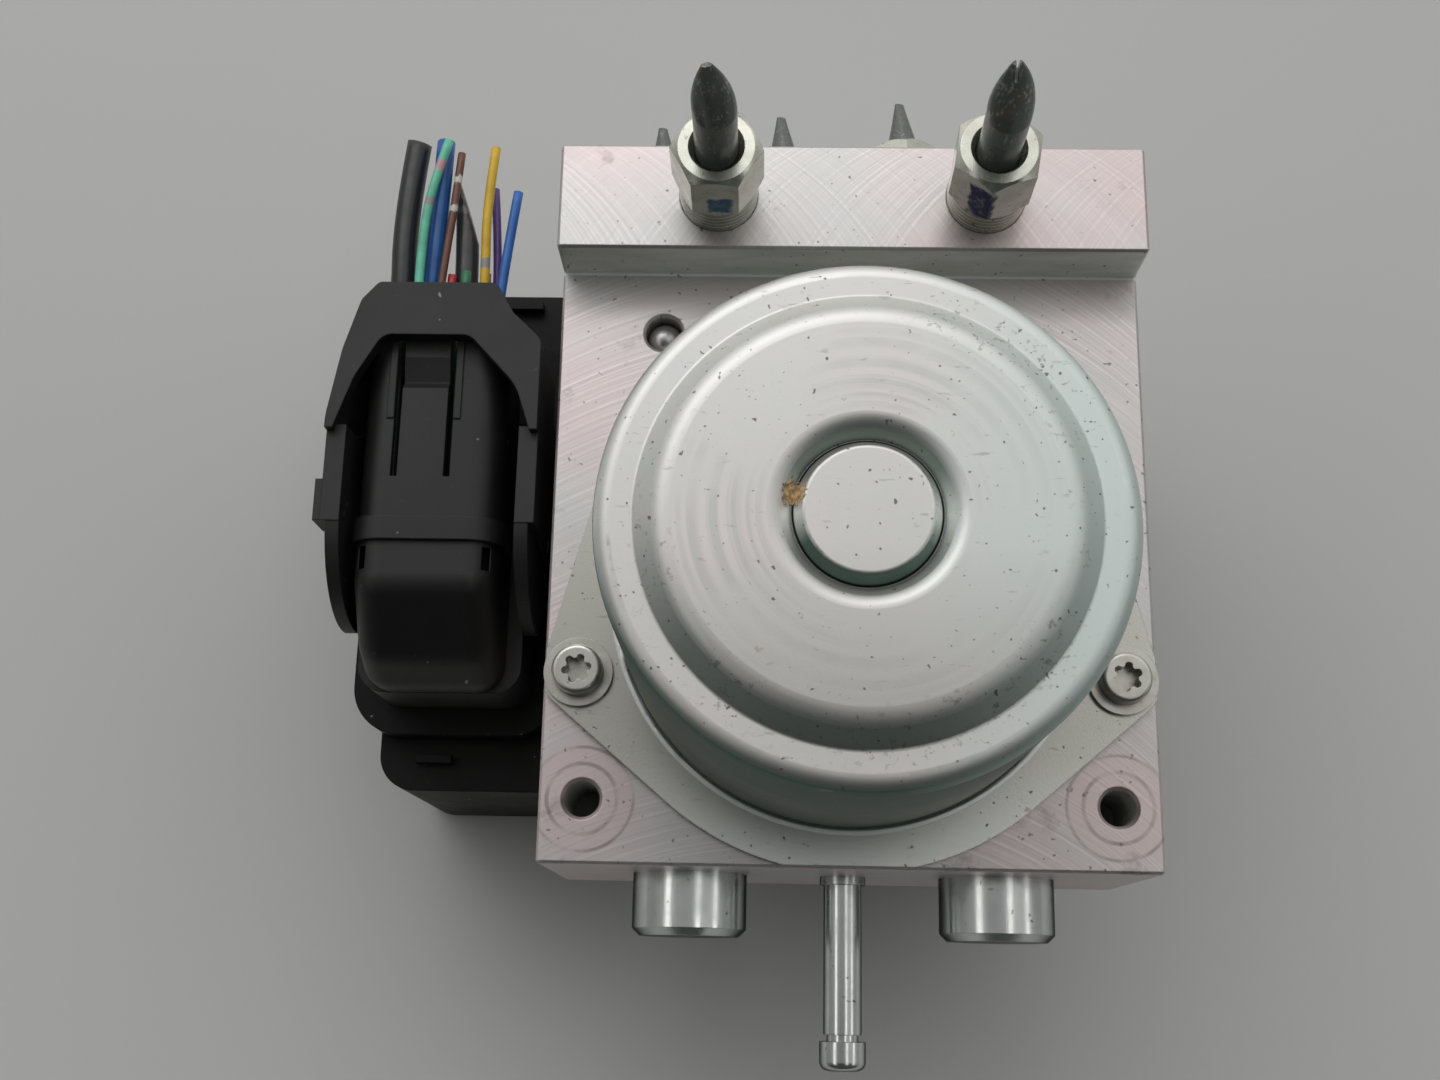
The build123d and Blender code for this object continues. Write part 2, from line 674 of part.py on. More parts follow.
with BuildPart() as inlet_valves:
    with Locations(inlet_places):
        add(valve_cartridge(partition_top + 2.5))
save(inlet_valves, "inlet_valves")

with BuildPart() as outlet_valves:
    with Locations(outlet_places):
        add(valve_cartridge(partition_top + 5.0))
save(outlet_valves, "outlet_valves")

with BuildPart() as valve_coils:
    with BuildSketch(Plane.XY.offset(partition_top)):
        with Locations(inlet_places + outlet_places):
            Circle(coil_radius)
            Circle(coil_bore, mode=Mode.SUBTRACT)
    extrude(amount=coil_top - partition_top)
    with BuildSketch(Plane.XY.offset(partition_top + 2)):
        with Locations(inlet_places + outlet_places):
            Circle(coil_radius + 1)
            Circle(coil_radius - 0.8, mode=Mode.SUBTRACT)
    extrude(amount=coil_top - partition_top - 4, mode=Mode.SUBTRACT)
save(valve_coils, "valve_coils")

# ---- controller housing: valve chamber, board chamber, side wing with the plug's header ----------
block_chamber_left = 0.5 - side_x
pedestal_half_width, pedestal_bottom, pedestal_top = 17.3, controller_depth - 4, controller_depth + 5.5
pedestal_front, pedestal_back = plug_front - 4.4, plug_back + 7.4
shroud_half_width = skirt_half_width - skirt_wall - loose
shroud_front, shroud_back = plug_front + skirt_wall + loose, plug_back - skirt_wall - loose
shroud_top, shroud_wall, header_floor = controller_depth + 18.0, 2.0, controller_depth + 2.0
header_y = (shroud_front + shroud_back) / 2
shroud_length = shroud_back - shroud_front
peg_radius, peg_drop = 2.0, 10.4
gasket_height, gasket_width = 1.2, 2.0
column_radius = 4.3
head_recess_radius, head_recess_depth = 4.2, 5.0
controller_centre = ((controller_left + controller_right) / 2, (controller_front + controller_back) / 2)
controller_size = (controller_right - controller_left, controller_back - controller_front)
chamber_centre_x = (block_chamber_left + controller_wall + controller_right - controller_wall) / 2
chamber_width = controller_right - 2 * controller_wall - block_chamber_left
wing_width = block_chamber_left - controller_left - controller_wall
signal_columns, signal_rows = 3, 10
signal_place = (plug_x, header_y - 8.5)
blade_place = (plug_x, shroud_back - 10.0)
signal_pitch = (5.0, 3.2)
blade_pitch = (5.0, 7.0)
signal_size, blade_width, blade_thickness = 0.7, 3.0, 0.9
hole_play = 0.1

with BuildPart() as controller_housing:
    with BuildSketch(Plane.XY.offset(lid_thickness)):
        with Locations(controller_centre):
            RectangleRounded(*controller_size, corner_round)
    extrude(amount=controller_depth - lid_thickness)
    # board chamber, open downwards over the whole floor
    with BuildSketch(Plane.XY.offset(lid_thickness)):
        with Locations(controller_centre):
            RectangleRounded(
                controller_size[0] - 2 * controller_wall,
                controller_size[1] - 2 * controller_wall,
                corner_round - controller_wall,
            )
    extrude(amount=partition_bottom - lid_thickness, mode=Mode.SUBTRACT)
    # wing chamber under the header
    with BuildSketch(Plane.XY.offset(partition_bottom)):
        with Locations((controller_left + controller_wall + wing_width / 2, controller_centre[1])):
            Rectangle(wing_width, controller_size[1] - 2 * controller_wall)
    extrude(amount=controller_depth - controller_wall - partition_bottom, mode=Mode.SUBTRACT)
    # valve chamber, open upwards to the block
    with BuildSketch(Plane.XY.offset(partition_top)):
        with Locations((chamber_centre_x, controller_centre[1])):
            Rectangle(chamber_width, controller_size[1] - 2 * controller_wall)
    extrude(amount=controller_depth - partition_top, mode=Mode.SUBTRACT)
    # pedestal and shroud of the header
    with BuildSketch(Plane.XY.offset(pedestal_bottom)):
        with Locations((plug_x, (pedestal_front + pedestal_back) / 2)):
            RectangleRounded(2 * pedestal_half_width, pedestal_back - pedestal_front, 8.0)
    extrude(amount=pedestal_top - pedestal_bottom)
    with BuildSketch(Plane.XY.offset(pedestal_top)):
        with Locations((plug_x, header_y)):
            RectangleRounded(2 * shroud_half_width, shroud_length, 3.0)
    extrude(amount=shroud_top - pedestal_top)
    with BuildSketch(Plane.XY.offset(header_floor)):
        with Locations((plug_x, header_y)):
            RectangleRounded(2 * (shroud_half_width - shroud_wall), shroud_length - 2 * shroud_wall, 1.0)
    extrude(amount=shroud_top - header_floor, mode=Mode.SUBTRACT)
    # pegs that the lever's cam slots pull on
    with BuildSketch(Plane.YZ.offset(plug_x - lever_half_width + 0.4)):
        with Locations((pivot_y, pivot_z - peg_drop)):
            Circle(peg_radius)
    extrude(amount=lever_half_width - 0.4 - shroud_half_width + 0.5)
    with BuildSketch(Plane.YZ.offset(plug_x + lever_half_width - 0.4)):
        with Locations((pivot_y, pivot_z - peg_drop)):
            Circle(peg_radius)
    extrude(amount=-(lever_half_width - 0.4 - shroud_half_width + 0.5))
    # screw columns through both chambers
    with BuildSketch(Plane.XY.offset(lid_thickness)):
        with Locations(controller_screw_places):
            Circle(head_recess_radius + 1.5)
    extrude(amount=partition_top - lid_thickness)
    with BuildSketch(Plane.XY.offset(partition_top)):
        with Locations(controller_screw_places):
            Circle(column_radius)
    extrude(amount=controller_depth - partition_top)
    with BuildSketch(Plane.XY.offset(lid_thickness)):
        with Locations(controller_screw_places):
            Circle(head_recess_radius)
    extrude(amount=head_recess_depth, mode=Mode.SUBTRACT)
    with BuildSketch(Plane.XY.offset(lid_thickness)):
        with Locations(controller_screw_places):
            Circle(controller_screw_radius + 0.25)
        with Locations(terminal_place):
            Circle(terminal_radius + loose)
        with Locations((plug_x, signal_place[1])):
            with GridLocations(*signal_pitch, signal_columns, signal_rows):
                Rectangle(signal_size + hole_play, signal_size + hole_play)
        with Locations(blade_place):
            with GridLocations(*blade_pitch, 2, 2):
                Rectangle(blade_thickness + hole_play, blade_width + hole_play)
    extrude(amount=controller_depth - lid_thickness + 3, mode=Mode.SUBTRACT)
    # groove for the gasket round the valve chamber
    with BuildSketch(Plane.XY.offset(controller_depth)):
        with Locations((chamber_centre_x, controller_centre[1])):
            Rectangle(chamber_width, controller_size[1] - 2 * controller_wall)
            offset(amount=gasket_width, kind=Kind.INTERSECTION)
            Rectangle(chamber_width, controller_size[1] - 2 * controller_wall, mode=Mode.SUBTRACT)
    extrude(amount=-gasket_height, mode=Mode.SUBTRACT)
    # stiffening ribs on the wing beside the header
    with BuildSketch(Plane.XY.offset(controller_depth)):
        with Locations((plug_x + 7.8, controller_back - 2.5), (plug_x - 3.8, controller_front + 5.2)):
            Rectangle(6.0, 1.4)
    extrude(amount=2.0)
save(controller_housing, "controller_housing")

with BuildPart() as housing_gasket:
    with BuildSketch(Plane.XY.offset(controller_depth)):
        with Locations((chamber_centre_x, controller_centre[1])):
            Rectangle(chamber_width, controller_size[1] - 2 * controller_wall)
            offset(amount=gasket_width, kind=Kind.INTERSECTION)
            Rectangle(chamber_width, controller_size[1] - 2 * controller_wall, mode=Mode.SUBTRACT)
    extrude(amount=-gasket_height)
save(housing_gasket, "housing_gasket")

# ---- controller lid with its seat rim, board posts and screw openings ---------------------------
post_places = [
    (controller_left + 7.5, controller_front + 7.7),
    (controller_left + 7.5, controller_back - 7.5),
    (8.0, controller_front + 6.7),
    (side_x - 13.0, 24.0),
    (13.0 - side_x, 24.0),
    (0.0, controller_back - 6.5),
]
with BuildPart() as controller_lid:
    with BuildSketch():
        with Locations(controller_centre):
            RectangleRounded(*controller_size, corner_round)
    extrude(amount=lid_thickness)
    chamfer(controller_lid.faces().sort_by(Axis.Z)[0].edges(), 0.8)
    with BuildSketch(Plane.XY.offset(lid_thickness)):
        with Locations(controller_centre):
            RectangleRounded(
                controller_size[0] - 2 * (controller_wall + hole_play),
                controller_size[1] - 2 * (controller_wall + hole_play),
                corner_round - controller_wall - hole_play,
            )
        offset(amount=-1.6, mode=Mode.SUBTRACT)
    extrude(amount=2.0)
    with BuildSketch(Plane.XY.offset(lid_thickness)):
        with Locations(post_places):
            Circle(2.4)
    extrude(amount=board_bottom - lid_thickness)
    with BuildSketch():
        with Locations(controller_screw_places):
            Circle(head_recess_radius)
    extrude(amount=lid_thickness, mode=Mode.SUBTRACT)
save(controller_lid, "controller_lid")

with BuildPart() as controller_screws:
    with BuildSketch(Plane.XY.offset(lid_thickness + head_recess_depth)):
        with Locations(controller_screw_places):
            Circle(controller_screw_radius)
    extrude(amount=controller_depth + controller_screw_grip - lid_thickness - head_recess_depth)
    with BuildSketch(Plane.XY.offset(lid_thickness + head_recess_depth)):
        with Locations(controller_screw_places):
            Circle(head_recess_radius - 0.5)
    extrude(amount=-4.0)
    with BuildSketch(Plane.XY.offset(lid_thickness + head_recess_depth - 4.0)):
        with Locations(controller_screw_places):
            RegularPolygon(1.6, 6, major_radius=False)
    extrude(amount=2.2, mode=Mode.SUBTRACT)
save(controller_screws, "controller_screws")

# ---- circuit board, and the header's pins and power blades ----------------------------------------
board_margin = controller_wall + 1.6
with BuildPart() as circuit_board:
    with BuildSketch(Plane.XY.offset(board_bottom)):
        with Locations(controller_centre):
            RectangleRounded(
                controller_size[0] - 2 * board_margin, controller_size[1] - 2 * board_margin, 1.5
            )
        with Locations(controller_screw_places):
            Circle(head_recess_radius + 1.8, mode=Mode.SUBTRACT)
    extrude(amount=board_thickness)
save(circuit_board, "circuit_board")

pin_top = shroud_top - 4.0
with BuildPart() as signal_pins:
    with BuildSketch(Plane.XY.offset(board_top)):
        with Locations(signal_place):
            with GridLocations(*signal_pitch, signal_columns, signal_rows):
                Rectangle(signal_size, signal_size)
    extrude(amount=pin_top - board_top)
save(signal_pins, "signal_pins")

with BuildPart() as power_blades:
    with BuildSketch(Plane.XY.offset(board_top)):
        with Locations(blade_place):
            with GridLocations(*blade_pitch, 2, 2):
                Rectangle(blade_thickness, blade_width)
    extrude(amount=pin_top - board_top)
save(power_blades, "power_blades")

# ---- wiring plug: skirt over the shroud, inner block with the contact holes, lever pivots --------
skirt_bottom = pedestal_top + 0.3
deck_bottom, deck_top = shroud_top + 0.5, shroud_top + 3.0
inner_block_bottom = header_floor + 5.5
inner_half_width = shroud_half_width - shroud_wall - 1.6
inner_front, inner_back = shroud_front + shroud_wall + 1.6, shroud_back - shroud_wall - 1.6
cover_x = plug_x - 0.5
tower_front, tower_back, tower_half_width, tower_top = 4.0, 16.0, 9.6, cover_top - 2.1
pivot_radius = 2.5
cheek_top = pivot_z + 4.0
with BuildPart() as plug_body:
    with BuildSketch(Plane.XY.offset(skirt_bottom)):
        with Locations((plug_x, header_y)):
            RectangleRounded(2 * skirt_half_width, plug_back - plug_front, 4.5)
    extrude(amount=deck_top - skirt_bottom)
    with BuildSketch(Plane.XY.offset(skirt_bottom)):
        with Locations((plug_x, header_y)):
            RectangleRounded(
                2 * (skirt_half_width - skirt_wall), plug_back - plug_front - 2 * skirt_wall, 3.2
            )
    extrude(amount=deck_bottom - skirt_bottom, mode=Mode.SUBTRACT)
    with BuildSketch(Plane.XY.offset(inner_block_bottom)):
        with Locations((plug_x, header_y)):
            RectangleRounded(2 * inner_half_width, inner_back - inner_front, 1.0)
    extrude(amount=deck_bottom - inner_block_bottom)
    with BuildSketch(Plane.XY.offset(inner_block_bottom)):
        with Locations(signal_place):
            with GridLocations(*signal_pitch, signal_columns, signal_rows):
                Rectangle(signal_size + 2 * hole_play, signal_size + 2 * hole_play)
        with Locations(blade_place):
            with GridLocations(*blade_pitch, 2, 2):
                Rectangle(blade_thickness + 2 * hole_play, blade_width + 2 * hole_play)
    extrude(amount=pin_top + 0.5 - inner_block_bottom, mode=Mode.SUBTRACT)
    # slots that let the shroud's pegs through the skirt
    with BuildSketch(Plane.XY.offset(skirt_bottom)):
        with Locations((plug_x, pivot_y)):
            Rectangle(2 * skirt_half_width + 2, 2 * peg_radius + 0.5)
            Rectangle(2 * (skirt_half_width - skirt_wall) - 0.2, 2 * peg_radius + 2, mode=Mode.SUBTRACT)
    extrude(amount=pivot_z - peg_drop + peg_radius + 0.4 - skirt_bottom, mode=Mode.SUBTRACT)
    # cheeks that carry the lever's pivots
    with BuildSketch(Plane.XY.offset(deck_top)):
        for side in (-1, 1):
            with Locations((plug_x + side * (skirt_half_width - skirt_wall / 2), pivot_y)):
                Rectangle(skirt_wall, 14.0)
    extrude(amount=cheek_top - deck_top)
    with BuildSketch(Plane.YZ.offset(plug_x - lever_half_width + 0.2)):
        with Locations((pivot_y, pivot_z)):
            Circle(pivot_radius)
    extrude(amount=lever_half_width - 0.2 - skirt_half_width + 0.5)
    with BuildSketch(Plane.YZ.offset(plug_x + lever_half_width - 0.2)):
        with Locations((pivot_y, pivot_z)):
            Circle(pivot_radius)
    extrude(amount=-(lever_half_width - 0.2 - skirt_half_width + 0.5))
    # tower whose back face holds the wires
    with BuildSketch(Plane.XZ.offset(-tower_back)):
        with Locations((cover_x, (deck_top + tower_top) / 2)):
            Rectangle(2 * tower_half_width, tower_top - deck_top)
    extrude(amount=tower_back - tower_front)
    chamfer(
        plug_body.edges().filter_by(Axis.Y).filter_by_position(Axis.Z, tower_top - 0.1, tower_top + 0.1), 2.0
    )
save(plug_body, "plug_body")

seal_height = 4.0
with BuildPart() as plug_seal:
    with BuildSketch(Plane.XY.offset(inner_block_bottom + 1.0)):
        with Locations((plug_x, header_y)):
            RectangleRounded(
                2 * (shroud_half_width - shroud_wall - running),
                shroud_length - 2 * (shroud_wall + running),
                1.2,
            )
            RectangleRounded(2 * inner_half_width, inner_back - inner_front, 1.0, mode=Mode.SUBTRACT)
    extrude(amount=seal_height)
save(plug_seal, "plug_seal")

# ---- wire cover: a domed hood with a sprung latch tongue between two slots -----------------------
cover_wall = 1.4
dome_length, dome_height = 13.6, cover_rise - 24.0
shoulder = 4.5
tongue_x, tongue_half_width, slot_gap = plug_x - 1.8, 3.6, 1.0
tongue_root, tongue_end = 18.4, cover_back - 0.2
band_back, band_length, band_rise = 11.9, 3.7, 0.8
catch_front, catch_slope, catch_depth = cover_back - 4.0, 4.0, 1.0


def cover_section(inset):
    """The cover's arch across the plug, moved in by inset."""
    half = cover_half_width - inset
    top = cover_top - inset
    FilletPolyline(
        (cover_x - half, deck_top),
        (cover_x - half, top),
        (cover_x + half, top),
        (cover_x + half, deck_top),
        radius=shoulder - inset,
    )
    Line((cover_x + half, deck_top), (cover_x - half, deck_top))


def cover_form(inset, back):
    """The cover's solid form moved in by inset: flat top, rolled edges, steep domed front."""
    front = plug_front + 0.1 + inset
    top = cover_top - inset
    with BuildPart() as form:
        with BuildSketch(Plane.YZ.offset(cover_x)):
            with BuildLine():
                FilletPolyline(
                    (back, top),
                    (front + dome_length, top),
                    (front + 0.26 * dome_length, top - 0.52 * dome_height),
                    (front, top - dome_height),
                    (front, deck_top),
                    radius=[6.0 - inset, 8.0 - inset, 6.0 - inset],
                )
                Polyline((front, deck_top), (back, deck_top), (back, top))
            make_face()
        extrude(amount=cover_half_width - inset, both=True)
        sides = form.faces().sort_by(Axis.X)
        rims = sides[0].edges() + sides[-1].edges()
        rolled = rims.filter_by(lambda rim: rim.center().Z > deck_top + 0.1 and rim.center().Y < back - 0.1)
        fillet(rolled, shoulder - inset)
    return form.part


with BuildPart() as plug_cover:
    add(cover_form(0, cover_back))
    # raised band across the cover, above the lever's cheeks
    with BuildSketch(Plane.XZ.offset(-band_back)):
        with BuildLine():
            cover_section(-band_rise)
        make_face()
        with Locations((cover_x, deck_top)):
            Rectangle(3 * cover_half_width, 2 * (cheek_top + 0.8 - deck_top), mode=Mode.SUBTRACT)
    extrude(amount=band_length)
    # ribs on both sides of the tongue
    with BuildSketch(Plane.XY.offset(cover_top - cover_wall)):
        with Locations((tongue_x, tongue_end - 7.0)):
            with GridLocations(2 * (tongue_half_width + slot_gap + 0.6), 0, 2, 1):
                Rectangle(1.1, 14.0)
    extrude(amount=cover_wall + 0.25)
    add(cover_form(cover_wall, cover_back + 1), mode=Mode.SUBTRACT)
    # slots beside the tongue, cut through at its free end, and its catch
    with BuildSketch(Plane.XY.offset(cover_top - 2 * cover_wall)):
        with Locations((tongue_x, (tongue_root + tongue_end) / 2)):
            with GridLocations(2 * tongue_half_width + slot_gap, 0, 2, 1):
                Rectangle(slot_gap, tongue_end - tongue_root)
        with Locations((tongue_x, tongue_end)):
            Rectangle(2 * (tongue_half_width + slot_gap), 0.8)
    extrude(amount=3 * cover_wall, mode=Mode.SUBTRACT)
    with BuildSketch(Plane.YZ.offset(tongue_x)):
        with BuildLine():
            Polyline(
                (catch_front, cover_top + 1),
                (catch_front, cover_top),
                (catch_front - catch_slope, cover_top - catch_depth),
                (catch_front - catch_slope - 1.2, cover_top),
                (catch_front - catch_slope - 1.2, cover_top + 1),
                close=True,
            )
        make_face()
    extrude(amount=tongue_half_width, both=True, mode=Mode.SUBTRACT)
    # small windows in both shoulders in front of the band
    with BuildSketch(Plane.XY.offset(cover_top - shoulder - 1.5)):
        for side in (-1, 1):
            with Locations((cover_x + side * (cover_half_width - 1.6), 5.6)):
                Rectangle(1.1, 3.6)
    extrude(amount=shoulder + 3, mode=Mode.SUBTRACT)
save(plug_cover, "plug_cover")

# ---- lock lever: two cam lobes with arms, joined over the wires by an arched bridge --------------
arm_inner = skirt_half_width + loose
lobe_sheet = lever_half_width - arm_inner - 0.9
arm_bottom, arm_top = pivot_z - 4.0, pivot_z + lobe_radius
bridge_bottom, bridge_top = cover_top + 0.35, cover_top + 3.1
bridge_back, leg_front, arm_front = 49.4, 25.2, pivot_y - 2.0
wall_bottom, wall_back, wall_sheet = deck_top + loose, cover_back - 0.5, 1.5
deep_wall_back = 32.0
cam_slot_width = 2 * peg_radius + 0.5
cam_end = 1.08 * lever_turn
arch_reach = lever_half_width - 1.2


def lever_outline():
    """The lever's outer edge seen from above, from the left arm round the bridge to the right arm."""
    FilletPolyline(
        (-lever_half_width, pivot_y),
        (-lever_half_width, 27.0),
        (1.8 - lever_half_width, 38.0),
        (4.2 - lever_half_width, 46.4),
        (6.8 - lever_half_width, bridge_back),
        (lever_half_width - 7.4, bridge_back),
        (lever_half_width - 4.6, 44.4),
        (lever_half_width, 40.0),
        (lever_half_width, pivot_y),
        radius=[14.0, 10.0, 2.2, 1.4, 1.6, 2.4, 2.4],
    )


def peg_in_lobe(turn):
    """Where the shroud's peg lies in the lobe when the lever has turned by turn and lifted the plug."""
    reach = peg_drop + plug_lift * turn / lever_turn
    angle = -math.pi / 2 - turn
    return (pivot_y + reach * math.cos(angle), pivot_z + reach * math.sin(angle))


with BuildPart() as lock_lever:
    for side in (-1, 1):
        with BuildSketch(Plane.YZ.offset(plug_x + side * arm_inner)):
            with Locations((pivot_y, pivot_z)):
                Circle(lobe_radius)
            with BuildLine():
                Spline(*[peg_in_lobe(cam_end * i / 8) for i in range(9)])
            trace(line_width=cam_slot_width, mode=Mode.SUBTRACT)
            with Locations(peg_in_lobe(0)):
                Circle(cam_slot_width / 2, mode=Mode.SUBTRACT)
            with Locations((pivot_y, pivot_z)):
                Circle(pivot_radius + running, mode=Mode.SUBTRACT)
        extrude(amount=side * lobe_sheet)
        with BuildSketch(Plane.YZ.offset(plug_x + side * arm_inner)):
            with Locations(((arm_front + leg_front + 1) / 2, (arm_bottom + arm_top) / 2)):
                Rectangle(leg_front + 1 - arm_front, arm_top - arm_bottom)
            with Locations((pivot_y, pivot_z)):
                Circle(pivot_radius + running, mode=Mode.SUBTRACT)
        extrude(amount=side * (lever_half_width - arm_inner))
    # bridge plate with its arched opening, and the walls that hang from its edge
    for foot, reach in ((wall_bottom, wall_back), (arm_bottom, deep_wall_back)):
        with BuildSketch(Plane(origin=(plug_x, 0, foot))):
            with BuildLine():
                lever_outline()
                Line((lever_half_width, pivot_y), (-lever_half_width, pivot_y))
            make_face()
            offset(amount=-wall_sheet, mode=Mode.SUBTRACT)
            with Locations((0, (leg_front + reach) / 2)):
                Rectangle(2 * lever_half_width, reach - leg_front, mode=Mode.INTERSECT)
        extrude(amount=bridge_bottom - foot + 0.5)
    with BuildSketch(Plane(origin=(plug_x, 0, bridge_bottom))):
        with BuildLine():
            lever_outline()
            Line((lever_half_width, pivot_y), (-lever_half_width, pivot_y))
        make_face()
        with BuildLine():
            FilletPolyline(
                (-arch_reach, leg_front),
                (2.8 - arch_reach, 33.6),
                (6.8 - arch_reach, 40.6),
                (arch_reach - 10.0, 40.6),
                (arch_reach - 2.4, 32.4),
                (arch_reach, leg_front),
                radius=[9.0, 2.6, 2.6, 9.0],
            )
            Polyline(
                (arch_reach, leg_front), (arch_reach, 0), (-arch_reach, 0), (-arch_reach, leg_front)
            )
        make_face(mode=Mode.SUBTRACT)
        with Locations((0, (leg_front + bridge_back) / 2)):
            Rectangle(2 * lever_half_width, bridge_back - leg_front, mode=Mode.INTERSECT)
    extrude(amount=bridge_top - bridge_bottom)
    # stop block on the outer face of the left arm
    with BuildSketch(Plane.XY.offset(arm_top - 7.0)):
        with Locations((plug_x - lever_half_width, pivot_y + 1.4)):
            Rectangle(2.4, 6.6)
    extrude(amount=6.6)
save(lock_lever, "lock_lever")


# ---- cut wires: straight runs joined by wide arcs, from the tower out under the bridge ----------
def cut_wire(name, radius, route):
    points = [Vector(plug_x, 0, deck_top) + Vector(*point) for point in route]
    bends = []
    for before, corner, after in zip(points, points[1:], points[2:]):
        turn = (corner - before).get_angle(after - corner)
        shorter = min((corner - before).length, (after - corner).length)
        bends.append(0.45 * shorter / math.tan(math.radians(turn / 2)))
    with BuildPart() as wire:
        with BuildLine() as path:
            FilletPolyline(*points, radius=bends)
        with BuildSketch(path.line ^ 0):
            Circle(radius)
        sweep()
    length = sum(edge.length for edge in path.edges())
    fullness = wire.part.volume / (math.pi * radius**2 * length)
    print(name, "length", round(length, 1), "radii", [round(bend) for bend in bends], round(fullness, 4))
    save(wire, name)


cut_wire(
    "wire_black_power",
    1.85,
    [
        (-7.8, 16.0, 9.4),
        (-7.8, 32.0, 9.4),
        (-7.9, 50.0, 9.7),
        (-8.7, 65.8, 9.0),
        (-7.4, 80.5, 8.0),
    ],
)
cut_wire(
    "wire_mint",
    0.75,
    [
        (-4.4, 16.0, 12.8),
        (-4.4, 30.0, 12.8),
        (-4.7, 44.0, 12.9),
        (-4.9, 57.0, 12.7),
        (-4.2, 68.5, 12.6),
        (-1.6, 77.8, 12.3),
    ],
)
cut_wire(
    "wire_blue_motor",
    1.3,
    [
        (-3.7, 16.0, 9.8),
        (-3.7, 32.0, 9.8),
        (-3.5, 48.0, 10.0),
        (-2.9, 64.0, 10.0),
        (-2.7, 79.0, 9.4),
    ],
)
cut_wire(
    "wire_brown",
    0.65,
    [
        (-2.1, 16.0, 12.7),
        (-2.1, 30.0, 12.7),
        (-1.8, 44.0, 12.6),
        (-1.0, 56.0, 12.3),
        (0.0, 66.5, 12.1),
        (0.5, 75.8, 11.6),
    ],
)
cut_wire(
    "wire_black_ground",
    1.9,
    [
        (2.3, 16.0, 9.4),
        (2.3, 32.0, 9.4),
        (2.4, 48.0, 9.6),
        (2.0, 62.0, 9.4),
        (1.0, 74.5, 8.6),
    ],
)
cut_wire(
    "wire_red",
    0.7,
    [(-0.6, 16.0, 9.6), (-0.6, 29.0, 9.6), (-0.6, 42.0, 10.4), (0.3, 54.0, 11.6)],
)
cut_wire(
    "wire_green",
    0.75,
    [(2.8, 16.0, 12.5), (2.8, 29.0, 12.5), (2.5, 42.0, 12.7), (2.8, 54.0, 12.9)],
)
cut_wire(
    "wire_yellow",
    0.78,
    [
        (5.3, 16.0, 11.8),
        (5.3, 30.0, 11.8),
        (5.6, 44.0, 11.6),
        (5.6, 55.0, 11.6),
        (5.2, 66.0, 11.7),
        (6.1, 77.0, 11.4),
    ],
)
cut_wire(
    "wire_pink",
    0.5,
    [
        (5.7, 16.0, 9.6),
        (5.7, 29.0, 9.6),
        (5.8, 42.0, 9.4),
        (5.8, 55.0, 9.9),
    ],
)
cut_wire(
    "wire_violet",
    0.7,
    [
        (7.2, 16.0, 9.4),
        (7.2, 30.0, 9.4),
        (7.3, 45.0, 9.2),
        (7.2, 59.0, 9.2),
        (5.9, 70.8, 8.6),
    ],
)
cut_wire(
    "wire_light_blue",
    0.8,
    [
        (7.9, 16.0, 11.5),
        (7.9, 30.0, 11.5),
        (7.8, 45.0, 11.3),
        (8.8, 57.2, 11.2),
        (10.2, 69.0, 11.2),
    ],
)
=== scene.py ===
import math

import bmesh
import bpy
from mathutils import Matrix, Vector


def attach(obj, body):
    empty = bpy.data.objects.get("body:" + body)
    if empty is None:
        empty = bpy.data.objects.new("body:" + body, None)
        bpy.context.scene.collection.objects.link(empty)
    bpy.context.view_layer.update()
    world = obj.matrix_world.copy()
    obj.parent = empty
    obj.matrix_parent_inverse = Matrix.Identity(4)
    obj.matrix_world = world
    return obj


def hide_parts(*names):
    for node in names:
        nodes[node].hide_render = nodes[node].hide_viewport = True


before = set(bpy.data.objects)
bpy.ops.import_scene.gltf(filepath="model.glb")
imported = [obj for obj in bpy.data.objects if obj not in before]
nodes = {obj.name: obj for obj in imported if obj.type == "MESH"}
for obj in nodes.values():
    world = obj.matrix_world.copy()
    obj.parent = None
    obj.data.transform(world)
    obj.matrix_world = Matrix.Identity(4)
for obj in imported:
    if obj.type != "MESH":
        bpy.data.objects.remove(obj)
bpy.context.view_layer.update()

# An ABS brake module lying on its controller's lid. Metres, in the CAD model's frame: the motor's
# axis is X = Y = 0, +Z is up and +Y points to the edge with the pipe ports.
MM = 0.001
FACE_Z = 80.5 * MM
STEP_Y = 51.8 * MM
LEDGE_Z = 88 * MM  # between the face and the ledge over it
FLANGE_Z = 83 * MM  # just over the can's flange
CAN_TOP_Z = 120 * MM  # below all of the can's top
PIPE_WEAR_Z = 108 * MM
CORNER_HOLES = [(-38.7 * MM, -30.7 * MM), (38.7 * MM, -30.7 * MM)]
BORE_RADIUS = 2.9 * MM
THREAD_PITCH = 0.8 * MM
BUTTON_GROOVE_RADIUS = 9.3 * MM
CREASE_RADIUS = 28 * MM
FOOT_RADIUS = 35.1 * MM
CRUMB = (-9.2 * MM, 2.3 * MM)


# ---- camera, lights and floor -------------------------------------------------------------------
def add_camera():
    """Looks down on the module, tilted a little towards its far edge."""
    right = Vector((0.99952918, 0.02003359, -0.0232396))
    up = Vector((-0.01322516, 0.96474729, 0.26284551))
    data = bpy.data.cameras.new("camera")
    data.sensor_width = 36
    data.lens = 40.904
    camera = bpy.data.objects.new("camera", data)
    turn = Matrix((right, up, right.cross(up))).transposed().to_4x4()
    camera.matrix_world = Matrix.Translation(Vector((-12.576, -56.362, 318.584)) * MM) @ turn
    bpy.context.collection.objects.link(camera)
    bpy.context.scene.camera = camera


